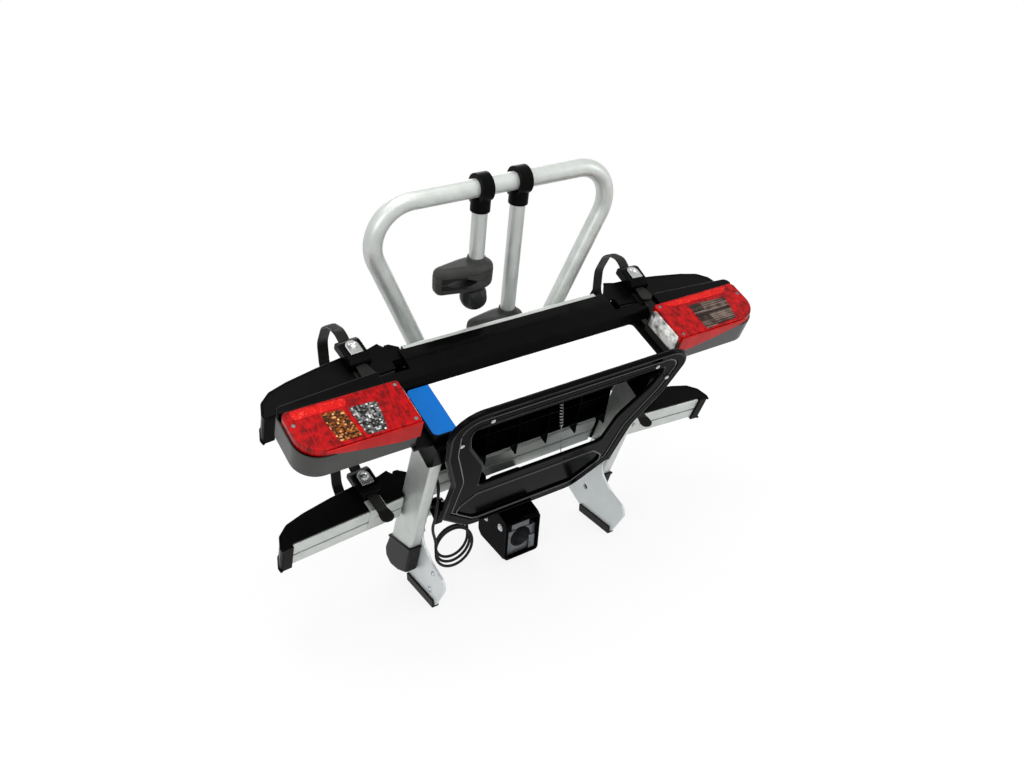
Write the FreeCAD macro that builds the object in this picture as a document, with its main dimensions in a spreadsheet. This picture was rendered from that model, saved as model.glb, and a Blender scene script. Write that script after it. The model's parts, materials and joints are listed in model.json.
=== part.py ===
# Two-bike rack for a tow ball, standing on its front end as it is stored.
#
# The platform has its own frame: x across the car, y up to the bikes, z to the rear.
# In storage that frame is turned about x by the lean, so the number plate looks up.
# Every piece is modelled in the platform's frame and then stood up, with the ground
# at z = 0 and the origin at the bottom centre of the whole.
import FreeCAD, Part
import math
import os

V = FreeCAD.Vector
X_AXIS = V(1, 0, 0)
Y_AXIS = V(0, 1, 0)
Z_AXIS = V(0, 0, 1)
SIDES = {"left": -1, "right": 1}

doc = FreeCAD.newDocument("bike_rack")

# Driving sizes in millimetres and degrees
SIZES = {
    "lean": 23, "clearance": 0.3, "pin_gap": 0.08,
    "rail_pitch": 482, "rail_width": 25, "rail_depth": 70, "rail_wall": 3,
    "rail_front": 142, "rail_rear": 476, "rail_cut": 35, "cap_length": 74,
    "crossbar_length": 444, "crossbar_width": 72, "crossbar_height": 31, "crossbar_wall": 2.6,
    "groove_width": 5, "groove_depth": 4,
    "front_row": 222, "rear_row": 475, "rear_rise": 108,
    "hinge_out": 243, "hinge_up": 112, "hinge_pin": 4, "hinge_ear": 24, "lug_width": 12,
    "arm_start": 21, "arm_length": 234, "arm_height": 32, "arm_drop": 62, "arm_droop": 4,
    "tray_width": 70, "tray_wall": 3.5, "tray_skirt": 28, "tray_fit": 0.5,
    "strap_place": 79, "strap_width": 22, "strap_thick": 3, "front_tail": 104, "rear_tail": 72,
    "buckle_width": 36, "buckle_depth": 22, "buckle_length": 66, "button_width": 20,
    "button_length": 28, "button_stand": 4,
    "foot_thick": 5, "foot_reach": 95, "foot_heel": 88, "foot_hole": 7,
    "rubber_width": 15, "rubber_height": 18, "rubber_sole": 6,
    "axle_up": 45, "axle_along": 180, "axle_radius": 10,
    "coupling_swing": 17, "housing_width": 84, "housing_depth": 106, "housing_length": 99,
    "housing_wall": 5, "housing_drop": 59, "ball_radius": 25.2, "cup_depth": 56,
    "lever_length": 92, "lever_width": 34, "jaw_width": 44,
    "board_length": 622, "board_low": 116, "board_high": 174, "board_front": 470,
    "board_back": 513, "board_wall": 3, "board_hood": 22,
    "plate_width": 520, "plate_height": 110, "plate_thick": 1.4, "plate_low": 4,
    "holder_length": 600, "holder_thick": 7, "holder_rim": 14,
    "lamp_inner": 290, "lamp_length": 217, "lamp_low": 6, "lamp_high": 105,
    "lamp_back": 552, "lens_depth": 17, "lamp_wall": 3, "brow_inner": 137, "brow_outer": 122,
    "bridge_wall": 4, "rib_depth": 20, "rib_wall": 3,
    "bracket_front": 415, "bracket_wall": 8,
    "pedal_thick": 12, "pedal_back": 3, "pedal_pivot_along": 262, "pedal_slope": 5.2, "pedal_low": 160,
    "pedal_high": 598, "pedal_reach": 264, "pedal_panel": 5,
    "spring_radius": 4.6, "spring_wire": 1.5, "spring_turns": 9,
    "hoop_up": 150, "hoop_along": 205, "hoop_fold": 13.6, "hoop_offset": 35.4,
    "hoop_height": 572, "hoop_spread": 24.13, "hoop_corner": 298, "hoop_bend": 76,
    "tube_radius": 17.5, "tube_wall": 2, "leg_start": 55, "hoop_pin": 8,
    "arm_tube_radius": 15, "arm_tube_wall": 1.8, "collar_radius": 27, "collar_width": 25,
    "short_place": -38, "long_place": 46, "short_length": 150, "long_length": 285,
    "claw_length": 112, "claw_width": 50, "claw_upper": 30, "claw_lower": 25, "knob_radius": 26,
    "lead_radius": 3, "bolt_radius": 4, "bolt_head": 7, "bolt_head_height": 4,
}
sheet = doc.addObject("Spreadsheet::Sheet", "Sizes")
for row, (alias, value) in enumerate(SIZES.items(), start=1):
    sheet.set("A%d" % row, alias)
    sheet.set("B%d" % row, str(value))
    sheet.setAlias("B%d" % row, alias)
doc.recompute()


class Size:
    """Reads a driving size from the sheet by its alias."""

    def __getattr__(self, alias):
        return float(sheet.get(alias))


s = Size()


def rad(degrees):
    return math.radians(degrees)


def bind(thing, **formulas):
    """Binds properties to formulas of the sheet's aliases; a number is set as it is."""
    for name, formula in formulas.items():
        path = name.replace("__", ".")
        thing.setExpression(path, str(formula).replace("#", "Sizes."))
    return thing


def place(thing, x=0, y=0, z=0):
    """Binds where a primitive starts."""
    return bind(thing, Placement__Base__x=x, Placement__Base__y=y, Placement__Base__z=z)


def box(name, length, width, height, x=0, y=0, z=0):
    thing = doc.addObject("Part::Box", name)
    bind(thing, Length=length, Width=width, Height=height)
    return place(thing, x, y, z)


TURN_TO = {
    "x": FreeCAD.Rotation(Z_AXIS, X_AXIS),
    "y": FreeCAD.Rotation(Z_AXIS, Y_AXIS),
    "z": FreeCAD.Rotation(),
}


def cylinder(name, radius, height, along, x=0, y=0, z=0):
    thing = doc.addObject("Part::Cylinder", name)
    thing.Placement.Rotation = TURN_TO[along]
    bind(thing, Radius=radius, Height=height)
    return place(thing, x, y, z)


def rounded(points):
    """Edges of a closed outline. A point may carry a corner radius as its third number."""
    corners = []
    count = len(points)
    for i, point in enumerate(points):
        here = V(point[0], point[1], 0)
        radius = point[2] if len(point) > 2 else 0
        if not radius:
            corners.append((here, here, None))
            continue
        before = V(*points[i - 1][:2], 0) - here
        after = V(*points[(i + 1) % count][:2], 0) - here
        before.normalize()
        after.normalize()
        half = before.getAngle(after) / 2
        middle_way = before + after
        middle_way.normalize()
        reach = radius / math.tan(half)
        bulge = here + middle_way * (radius / math.sin(half) - radius)
        corners.append((here + before * reach, here + after * reach, bulge))
    edges = []
    for i, (start, end, bulge) in enumerate(corners):
        if bulge is not None:
            edges.append(Part.Arc(start, bulge, end))
        following = corners[(i + 1) % count][0]
        if (following - end).Length > 1e-6:
            edges.append(Part.LineSegment(end, following))
    return edges


PLANES = {"x": "YZ_Plane", "y": "XZ_Plane", "z": "XY_Plane"}


def prism(name, along, outlines, start, length):
    """A body padded along an axis from a closed outline and any holes in it.
    The outline is in (y, z) along x, in (x, z) along y and in (x, y) along z."""
    body = doc.addObject("PartDesign::Body", name)
    sketch = body.newObject("Sketcher::SketchObject", name + "_outline")
    plane = [f for f in body.Origin.OriginFeatures if f.Role == PLANES[along]][0]
    sketch.AttachmentSupport = [(plane, "")]
    sketch.MapMode = "FlatFace"
    for outline in outlines:
        for edge in rounded(outline):
            sketch.addGeometry(edge)
    pad = body.newObject("PartDesign::Pad", name + "_pad")
    pad.Profile = sketch
    pad.Reversed = along == "y"
    bind(pad, Length=length)
    offset = start if along != "y" else "-(%s)" % start
    bind(sketch, AttachmentOffset__Base__z=offset)
    sketch.Visibility = False
    return body


def combine(kind, name, base, others):
    """A cut, fuse or common of finished pieces."""
    others = list(others)
    if kind == "Cut":
        tool = others[0] if len(others) == 1 else combine("MultiFuse", name + "_tools", others[0],
                                                          others[1:])
        thing = doc.addObject("Part::Cut", name)
        thing.Base = base
        thing.Tool = tool
        return thing
    thing = doc.addObject("Part::" + kind, name)
    thing.Shapes = [base] + others
    return thing


def cut(name, base, *tools):
    return combine("Cut", name, base, tools)


def fuse(name, base, *others):
    return combine("MultiFuse", name, base, others)


def group(name, *pieces):
    """Identical or fastened pieces that share one sub-part, as separate solids."""
    thing = doc.addObject("Part::Compound", name)
    thing.Links = list(pieces)
    return thing


def formed(name, shape):
    """A shape made by a sweep or loft, which no feature above makes."""
    thing = doc.addObject("Part::Feature", name)
    thing.Shape = shape
    return thing


parts = []


def keep(thing, label, placement=None):
    """Names a finished sub-part and notes it for export."""
    thing.Label = label
    if placement is not None:
        thing.Placement = placement
    parts.append(thing)
    return thing


# Rails: a flat oval tube each side, its front end cut back so the platform can tilt
def rail(side):
    middle = SIDES[side] * s.rail_pitch / 2
    half = s.rail_width / 2
    outer = [(middle - half, 0, 5), (middle + half, 0, 5), (middle + half, s.rail_depth, 5),
             (middle - half, s.rail_depth, 5)]
    inner_half = half - s.rail_wall
    inner = [(middle - inner_half, s.rail_wall, 2), (middle + inner_half, s.rail_wall, 2),
             (middle + inner_half, s.rail_depth - s.rail_wall, 2),
             (middle - inner_half, s.rail_depth - s.rail_wall, 2)]
    tube = prism("rail_tube_" + side, "z", [outer, inner], 0, "#rail_rear")
    fall = s.rail_depth * math.tan(rad(s.rail_cut))
    below = [(-40, -10), (0, -10), (0, s.rail_front), (s.rail_depth, s.rail_front - fall),
             (s.rail_depth + 20, s.rail_front - fall), (s.rail_depth + 20, -10)]
    waste = prism("rail_waste_" + side, "x", [below], middle - 40, 80)
    return cut("rail_cut_" + side, tube, waste)


# End caps: a rounded plastic boot over each rail's cut front end, with a plug inside the tube
def rail_cap(side):
    middle = SIDES[side] * s.rail_pitch / 2
    fall = s.rail_depth * math.tan(rad(s.rail_cut))
    front = s.rail_front
    length = s.cap_length
    low = front - fall - length
    boot = [(-3, front), (s.rail_depth + 3, front - fall - 2), (s.rail_depth + 9, low + 21, 12),
            (s.rail_depth + 1, low, 10), (47, low - 4, 14), (20, low + 13, 16), (-8, low + 43, 12),
            (-5, front - 8, 6)]
    sign = SIDES[side]
    beyond = 3
    start = middle - s.rail_width / 2 + (s.clearance if sign > 0 else -beyond)
    cap = prism("cap_boot_" + side, "x", [boot], start, "#rail_width + %d - #clearance" % beyond)
    lip = 10
    shy = 0.8
    plug = [(s.rail_wall + shy, front - 4), (s.rail_wall + shy, front + lip),
            (s.rail_depth - s.rail_wall - shy, front - fall + lip),
            (s.rail_depth - s.rail_wall - shy, front - fall - 4)]
    plug_width = s.rail_width - 2 * s.rail_wall - 2 * shy
    stem = prism("cap_plug_" + side, "x", [plug], middle - plug_width / 2, plug_width)
    return fuse("rail_cap_" + side, cap, stem)


# Cross bars: hollow, with one groove along the side that looks down when driving
def bar_section(low, middle, height, width, wall):
    half = width / 2
    groove = s.groove_width / 2
    outer = [(low, middle - half, 3), (low, middle - groove), (low + s.groove_depth, middle - groove),
             (low + s.groove_depth, middle + groove), (low, middle + groove), (low, middle + half, 3),
             (low + height, middle + half, 6), (low + height, middle - half, 6)]
    web = groove + wall
    chambers = []
    for sign in (-1, 1):
        inner, outer_edge = middle + sign * web, middle + sign * (half - wall)
        chambers.append([(low + wall, inner, 1), (low + wall, outer_edge, 2),
                         (low + height - wall, outer_edge, 4), (low + height - wall, inner, 1)])
    return [outer] + chambers


def crossbar(name, row, rise):
    low = s.rail_depth + rise + 0.5
    section = bar_section(low, row, s.crossbar_height, s.crossbar_width, s.crossbar_wall)
    return prism(name, "x", section, "-#crossbar_length / 2", "#crossbar_length")


# Tray hinges: a casting on each rail that carries a cross bar's end and a tray's hinge pin
def tray_hinge(side, row_name, row, rise):
    name = "tray_hinge_%s_%s" % (row_name, side)
    sign = SIDES[side]
    pin_out, pin_up = s.hinge_out * sign, s.hinge_up + rise
    inner, outer = sign * s.crossbar_length / 2, sign * (s.rail_pitch + s.rail_width) / 2
    ear = s.hinge_ear / 2
    lug = ear + s.lug_width
    base_top = s.hinge_up - 18 + rise
    base = [(inner, s.rail_depth + rise), (outer, s.rail_depth + rise), (outer, base_top - 6, 3),
            (inner, base_top)]
    block = prism(name + "_base", "z", [base], row - lug, 2 * lug)
    lug_shape = [(inner, base_top - 4), (outer - sign * 2, base_top - 8), (pin_out + sign * 8, pin_up, 3),
                 (pin_out + sign * 5, pin_up + 8, 4), (pin_out - sign * 5, pin_up + 8, 4),
                 (inner, pin_up - 4, 3)]
    lugs = [prism("%s_lug_%d" % (name, i), "z", [lug_shape], start, "#lug_width - #clearance")
            for i, start in enumerate(("%f + #clearance" % (row + ear), "%f" % (row - lug)))]
    pin = cylinder(name + "_pin", "#hinge_pin", "#hinge_ear + 2 * #lug_width + 4", "z",
                   pin_out, pin_up, row - lug - 2)
    pieces = [block] + lugs + [pin]
    if rise:
        back = s.board_front - 2
        post = [(s.rail_depth, back - 30), (s.rail_depth, back), (s.rail_depth + rise, back),
                (s.rail_depth + rise, back - 28)]
        start = sign * s.rail_pitch / 2 - s.rail_width / 2 + (s.clearance if sign > 0 else 0)
        pieces.append(prism(name + "_riser", "x", [post], start, "#rail_width - #clearance"))
    return fuse(name, *pieces)


# Trays: each arm folds up about a pin along z; its pieces are laid out from that pin,
# a being outward, b up and c to the rear, and then hang by the droop
def tray_placement(side, row, rise):
    sign = SIDES[side]
    turn = FreeCAD.Rotation(Z_AXIS, -sign * s.arm_droop)
    return FreeCAD.Placement(V(sign * s.hinge_out, s.hinge_up + rise, row), turn)


def tray_arm(name, sign):
    low = -s.arm_drop
    width = s.tray_width - 2 * s.tray_wall - 2 * s.tray_fit
    section = bar_section(low, 0, s.arm_height, width, s.crossbar_wall)
    start = s.arm_start if sign > 0 else -s.arm_start - s.arm_length
    bar = prism(name + "_bar", "x", section, start, "#arm_length")
    top = low + s.arm_height
    ear = [(-8, 8, 7), (8, 8, 7), (s.arm_start + 6, top + 3), (s.arm_start + 6, top - 6),
           (s.arm_start, top - 6),
           (s.arm_start, low + 4), (s.arm_start - 4, low + 4), (13, -14), (-8, -8, 7)]
    ear = [(sign * p[0],) + p[1:] for p in ear]
    half = s.hinge_ear / 2
    knuckle = prism(name + "_ear", "z", [ear], -half, "#hinge_ear")
    hole = cylinder(name + "_hole", "#hinge_pin + #pin_gap", "#hinge_ear + 2", "z", 0, 0, -half - 1)
    return cut(name + "_welded", fuse(name + "_joined", bar, knuckle), hole)


# The anchor: a steel clip under the arm and round the tray's rear edge, with the buckle's rivet
def tray_anchor(name, sign):
    edge = s.tray_width / 2 + 1
    low = -s.arm_drop
    wall = 2.5
    clip = [(low - wall, edge - 52), (low - wall, edge + wall, 2), (low + 24, edge + wall),
            (low + 24, edge),
            (low, edge), (low, edge - 52)]
    start = s.strap_place - 17 if sign > 0 else -s.strap_place - 17
    plate = prism(name + "_clip", "x", [clip], start, 34)
    rivet = cylinder(name + "_rivet", 5, 3, "y", sign * s.strap_place, low - wall - 3, 8)
    return fuse(name, plate, rivet)


# The trough: one moulding with a boat's profile. Its sides reach down over the arm as a skirt,
# and its outer end wraps over the arm's end
def tray(name, sign):
    top = s.arm_height - s.arm_drop
    skirt = top - s.tray_skirt
    end = s.arm_start + s.arm_length + 1
    profile = [(-12, top - 10, 2), (20, 8, 2), (42, 3, 6), (98, 4, 60), (150, -1, 60), (end - 46, -9, 40),
               (end - 9, -18, 12), (end + 12, -34, 8), (end + 22, -57, 6), (end + 21, top - 36, 3),
               (end, top - 36), (end, skirt), (18, skirt), (16, top - 10)]
    floor = top + s.tray_wall
    hollow = [(-30, floor), (end - 8, floor, 8), (end + 8, floor + 12, 8), (end + 8, 40), (-30, 40)]
    channel = [(-30, skirt - 20), (end, skirt - 20), (end, top), (-30, top)]
    outer = prism(name + "_shell", "z", [[(sign * p[0],) + p[1:] for p in profile]],
                  "-#tray_width / 2", "#tray_width")
    inners = [prism(name + suffix, "z", [[(sign * p[0],) + p[1:] for p in outline]],
                    "-#tray_width / 2 + #tray_wall", "#tray_width - 2 * #tray_wall")
              for suffix, outline in (("_hollow", hollow), ("_channel", channel))]
    gap = s.hinge_ear + 2 * s.lug_width + 8
    nose = box(name + "_nose", 42, 60, gap, -12 if sign > 0 else -30, top - 20, -gap / 2)
    return cut(name, outer, nose, *inners)


def band(path, thickness):
    """An outline that follows an open path of (p, q, radius) points at an even thickness."""
    points = [V(p[0], p[1], 0) for p in path]
    radii = [p[2] if len(p) > 2 else 0 for p in path]
    sides = []
    for way in (1, -1):
        line = []
        for i, here in enumerate(points):
            steps = []
            if i > 0:
                steps.append((here - points[i - 1]).normalize())
            if i < len(points) - 1:
                steps.append((points[i + 1] - here).normalize())
            normals = [V(-step.y, step.x, 0) for step in steps]
            total = normals[0] + normals[-1]
            total.normalize()
            reach = way * thickness / 2 / total.dot(normals[0])
            shifted = here + total * reach
            radius = 0
            if radii[i]:
                turn = steps[0].cross(steps[-1]).z
                radius = radii[i] - way * math.copysign(thickness / 2, turn)
            line.append((shifted.x, shifted.y, radius))
        sides.append(line)
    return sides[0] + sides[1][::-1]


# The strap: a ratchet band from its tail up through the buckle, over the tray and down inside
def strap(name, sign, tail):
    near = s.tray_width / 2 + 10
    far = -s.tray_width / 2 + 8
    path = [(-tail, near + 4), (-52, near + 3, 20), (16, near + 2, 30), (44, near + 8, 24),
            (70, near - 16, 26),
            (64, far + 12, 30), (32, far - 6, 40), (6, far - 2.2, 60),
            (s.arm_height - s.arm_drop + s.tray_wall + 1, far)]
    start = "%f - #strap_width / 2" % (sign * s.strap_place)
    return prism(name, "x", [band(path, s.strap_thick)], start, "#strap_width")


# The buckle: a ratchet housing on the anchor, the strap running through its slot
def buckle(name, sign):
    side = s.tray_width / 2 + 3.5
    near = s.tray_width / 2 + 10
    high = 24
    low = high - s.buckle_length
    deep = side + s.buckle_depth
    profile = [(low, side + 1, 3), (low, deep - 8, 5), (low + 22, deep - 2, 10), (high - 10, deep, 8),
               (high, deep - 6, 5), (high, side + 1, 3)]
    start = "%f - #buckle_width / 2" % (sign * s.strap_place)
    body = prism(name + "_block", "x", [profile], start, "#buckle_width")
    slot_path = [(-120, near + 4.4), (-52, near + 3, 20), (16, near + 2, 30), (44, near + 8)]
    slot_start = "%f - #strap_width / 2 - #clearance" % (sign * s.strap_place)
    slot = prism(name + "_slot", "x", [band(slot_path, s.strap_thick + 2 * s.clearance)], slot_start,
                 "#strap_width + 2 * #clearance")
    well = box(name + "_well", "#button_width + 2 * #clearance", "#button_length + 2 * #clearance", 12,
               "%f - #button_width / 2 - #clearance" % (sign * s.strap_place),
               "%f - #clearance" % (high - 12 - s.button_length), deep - 7)
    foot = [(low + 4, side), (low + 4, side + 2), (low + 20, side + 2), (low + 20, side)]
    lug = prism(name + "_foot", "x", [foot], "%f - 6" % (sign * s.strap_place), 12)
    return fuse(name, cut(name + "_cut", body, slot, well), lug)


# The release button: a metal pad in the buckle's well that travels inward
def button(name, sign):
    deep = s.tray_width / 2 + 3.5 + s.buckle_depth
    base = deep - 7 + 3.2
    half = s.button_width / 2
    low = 12 - s.button_length
    outline = [(low, base), (low, base + s.button_stand + 3, 3),
               (low + s.button_length, base + s.button_stand, 3),
               (low + s.button_length, base)]
    return prism(name, "x", [outline], sign * s.strap_place - half, "#button_width")


# Feet: a plate inside each rail's front end, with a rubber shoe along the line it stands on
def foot_plate(side):
    sign = SIDES[side]
    inner = s.rail_pitch / 2 - s.rail_width / 2
    slope = math.tan(rad(s.lean))
    sole = s.rubber_sole / math.cos(rad(s.lean))
    reach, heel = s.foot_reach, s.foot_heel

    def ground(y):
        return sole - y * slope

    outline = [(4, ground(4), 10), (-reach + 4, ground(-reach + 4), 6), (-reach - 8, 122, 14),
               (-reach + 4, 138, 12),
               (-44, 136, 40), (4, 152, 30), (12, 214, 14), (58, 214, 14), (66, 150, 60),
               (heel + 4, 70, 30),
               (heel + 4, 14, 14)]
    start = sign * inner - (s.foot_thick if sign > 0 else 0)
    plate = prism("foot_plate_" + side, "x", [outline], start, "#foot_thick")
    eye = cylinder("foot_eye_" + side, "#foot_hole", "#foot_thick + 2", "x", start - 1, 24, 69)
    return cut("foot_plate_eyed_" + side, plate, eye)


def foot_rubber(side):
    sign = SIDES[side]
    inner = s.rail_pitch / 2 - s.rail_width / 2
    middle = sign * (inner - s.foot_thick / 2)
    name = "foot_rubber_" + side
    run = s.foot_reach + 12
    shoe = doc.addObject("Part::Box", name + "_shoe")
    bind(shoe, Length="#rubber_width", Width=run, Height="#rubber_height")
    place(shoe, "%f - #rubber_width / 2" % middle, 9 - run, 0)
    slot = doc.addObject("Part::Box", name + "_slot")
    bind(slot, Length="#foot_thick", Width=run + 4, Height="#rubber_height")
    place(slot, "%f - #foot_thick / 2" % middle, 7 - run, "#rubber_sole")
    shod = cut(name, shoe, slot)
    shod.Placement = FreeCAD.Placement(V(), FreeCAD.Rotation(X_AXIS, -s.lean))
    return shod


# The tilt axle: the shaft welded between the foot plates, on which the platform tips down
def tilt_axle():
    span = "#rail_pitch - #rail_width - 2 * #foot_thick"
    return cylinder("tilt_axle", "#axle_radius", span, "x", "-(%s) / 2" % span, "#axle_up", "#axle_along")


# The bridge: a ribbed black panel between the rails that carries the light board
def centre_bridge():
    half = s.rail_pitch / 2 - s.rail_width / 2
    front = s.front_row + s.crossbar_width / 2 + 4
    back = s.board_front + 4
    low, high = 74, 112
    wall = s.bridge_wall
    deep = s.rib_depth
    skin = [(low, front), (low + wall, front), (high + wall, back), (high, back)]
    panel = prism("bridge_skin", "x", [skin], -half, 2 * half)
    pieces = [panel]
    rib = [(low - deep, front), (low + 1, front), (high + 1, back), (high - deep, back)]
    ribs = 7
    for i in range(ribs):
        x = -half + (2 * half - s.rib_wall) * i / (ribs - 1)
        pieces.append(prism("bridge_rib_%d" % i, "x", [rib], x, "#rib_wall"))
    for i in range(4):
        share = (i + 0.5) / 4
        z = front + (back - front) * share
        y = low + (high - low) * share
        cross = [(y - deep, z), (y + 1, z), (y + 1, z + s.rib_wall), (y - deep, z + s.rib_wall)]
        pieces.append(prism("bridge_cross_%d" % i, "x", [cross], -half, 2 * half))
    post_foot = 45.4
    pieces.append(box("spring_post", 7, high - post_foot, 10, 56.5, post_foot, 424))
    return fuse("bridge_moulding", *pieces)


# The light board: a hollow beam above the number plate, open to the front
def light_board():
    low, high, front, back, wall = s.board_low, s.board_high, s.board_front, s.board_back, s.board_wall
    seat = s.rear_row + s.crossbar_width / 2 + s.clearance
    hood = high + s.board_hood
    outer = [(low, front), (low, back - 12, 4), (low + 12, back, 8), (high - 4, back + 5, 60),
             (hood, seat + wall + 1, 2), (hood, seat), (high, seat),
             (high, front)]
    inner = [(low + wall, front - 1), (low + wall, back - 12, 3), (low + 13, back - wall, 6),
             (high - 25, back - wall, 20), (high - wall, back - 13, 14), (high - wall, front - 1)]
    beam = prism("board_shell", "x", [outer], "-#board_length / 2", "#board_length")
    hollow = prism("board_hollow", "x", [inner], "-#board_length / 2 + 4", "#board_length - 8")
    notches = []
    for side, sign in SIDES.items():
        start = 236 if sign > 0 else -336
        notches.append(box("board_notch_" + side, 100, 60, 80, start,
                           s.rear_rise + s.hinge_up - s.arm_drop - 11,
                           front - 10))
    return cut("board_moulding", beam, hollow, *notches)


def plate_holder():
    back = s.rail_rear + 2
    high = s.board_low - 0.5
    panel = box("holder_panel", "#holder_length", high, "#holder_thick", "-#holder_length / 2", 0, back)
    frame_half = s.plate_width / 2 + 6
    rim = prism("holder_rim", "z", [[(-frame_half, 0, 16), (frame_half, 0, 16), (frame_half, high, 6),
                                     (-frame_half, high, 6)]], back + s.holder_thick, "#holder_rim")
    seat_half = s.plate_width / 2 + 0.3
    seat = prism("holder_seat", "z", [[(-seat_half, 3.5, 10), (seat_half, 3.5, 10), (seat_half, high + 5),
                                       (-seat_half, high + 5)]], back + s.holder_thick, "#holder_rim + 1")
    backing = box("holder_backing", "#plate_width - 40", high - 24, "#holder_rim - 2",
                  "-#plate_width / 2 + 20", 12, back + s.holder_thick)
    return fuse("holder_moulding", panel, cut("holder_frame", rim, seat), backing)


def number_plate():
    half = s.plate_width / 2
    high = s.plate_low + s.plate_height
    start = s.rail_rear + 2 + s.holder_thick + s.holder_rim - 2
    outline = [(-half, s.plate_low, 9), (half, s.plate_low, 9), (half, high, 9), (-half, high, 9)]
    return prism("plate_sheet", "z", [outline], start, "#plate_thick")


# Lamps: a grey tub with a black brow above the lens, a reflector with its bulbs, and the lens
def tub_outline(sign, inset=0):
    inner, outer = s.lamp_inner + inset, s.lamp_inner + s.lamp_length - inset
    step = s.board_length / 2 + 1 + inset
    low, shoulder = s.lamp_low + inset, s.lamp_high - inset
    points = [(inner, low, 8), (outer, low, 45), (outer, s.brow_outer - inset, 14),
              (step, s.brow_inner - inset, 4), (step, shoulder, 0), (inner, shoulder, 6)]
    return [(sign * x, y, max(radius - inset, 0)) for x, y, radius in points]


def lamp_outline(sign, inset=0):
    inner, outer = s.lamp_inner + inset, s.lamp_inner + s.lamp_length - inset
    low, high = s.lamp_low + inset, s.lamp_high - inset
    points = [(inner, low, 8), (outer, low, 45), (outer, high, 14), (inner, high, 6)]
    return [(sign * x, y, radius - inset) for x, y, radius in points]


def lamp_housing(side):
    sign = SIDES[side]
    name = "lamp_housing_" + side
    back = s.lamp_back - s.lens_depth
    front = s.rail_rear + 2 + s.holder_thick
    tub = prism(name + "_tub", "z", [tub_outline(sign)], front, back - front)
    hollow = prism(name + "_hollow", "z", [tub_outline(sign, s.lamp_wall)], front + s.lamp_wall,
                   back - front)
    inner, outer = s.board_length / 2 + 1, s.lamp_inner + s.lamp_length
    low = s.lamp_high + s.clearance
    ledge = [(sign * inner, low), (sign * outer, low), (sign * outer, s.brow_outer, 14),
             (sign * inner, s.brow_inner, 4)]
    brow = prism(name + "_brow", "z", [ledge], back - s.lamp_wall, s.lens_depth)
    return fuse(name, cut(name + "_open", tub, hollow), brow)


def lamp_lens(side):
    sign = SIDES[side]
    name = "lamp_lens_" + side
    back = s.lamp_back - s.lens_depth
    cover = prism(name + "_cover", "z", [lamp_outline(sign)], back, "#lens_depth")
    hollow = prism(name + "_hollow", "z", [lamp_outline(sign, s.lamp_wall)], back - 1,
                   "#lens_depth + 1 - #lamp_wall")
    return cut(name, cover, hollow)


def lamp_insert(side):
    sign = SIDES[side]
    name = "lamp_insert_" + side
    front = s.rail_rear + 2 + s.holder_thick + s.lamp_wall
    plate = prism(name + "_plate", "z", [lamp_outline(sign, s.lamp_wall + 1)], front, 24)
    pieces = [plate]
    for i in range(3):
        x = sign * (s.lamp_inner + s.lamp_length * (i + 0.9) / 3.9)
        y = (s.lamp_low + s.lamp_high) / 2
        pieces.append(cylinder("%s_bulb_%d" % (name, i), 9, 15, "z", x, y, front + 24))
    return fuse(name, *pieces)


# Board brackets: grey sleeves over the rails' rear ends, under the light board
def board_bracket(side):
    sign = SIDES[side]
    name = "board_bracket_" + side
    middle = sign * s.rail_pitch / 2
    half = s.rail_width / 2
    wall = s.bracket_wall
    front, back = s.bracket_front, s.rail_rear + 2
    high = s.rail_depth - 4
    side_view = [(-wall - 6, back), (-wall - 4, front + 14, 4), (0, front - 2, 4), (high, front + 8),
                 (high, back)]
    sleeve = prism(name + "_sleeve", "x", [side_view], middle - half - wall,
                   "#rail_width + 2 * #bracket_wall")
    bore = [(middle - half, 0, 5), (middle + half, 0, 5), (middle + half, high + 20),
            (middle - half, high + 20)]
    return cut(name, sleeve, prism(name + "_bore", "z", [bore], front - 30, 200))


# The hoop's base: a casting on the front cross bar with two lugs and the hoop's pin
def hoop_base():
    top = s.rail_depth + 0.5 + s.crossbar_height
    along, up = s.hoop_along, s.hoop_up
    block = prism("hoop_base_block", "x", [[(top, along - 18), (top, along + 42), (top + 14, along + 34, 6),
                                            (up - 26, along + 12), (up - 26, along - 12),
                                            (top + 14, along - 18)]],
                  -70, 140)
    ears = []
    for side, sign in SIDES.items():
        ear = [(top, along - 18), (top, along + 30), (up - 14, along + 19, 8), (up + 14, along + 15, 12),
               (up + 14, along - 15, 12), (up - 14, along - 17, 8)]
        start = 53 if sign > 0 else -70
        ears.append(prism("hoop_base_ear_" + side, "x", [ear], start, 17))
    pin = cylinder("hoop_base_pin", "#hoop_pin", 148, "x", -74, "#hoop_up", "#hoop_along")
    return fuse("hoop_base_casting", block, *ears, pin)


def hoop_placement():
    return FreeCAD.Placement(V(0, s.hoop_up, s.hoop_along), FreeCAD.Rotation(X_AXIS, -s.hoop_fold))


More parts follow.
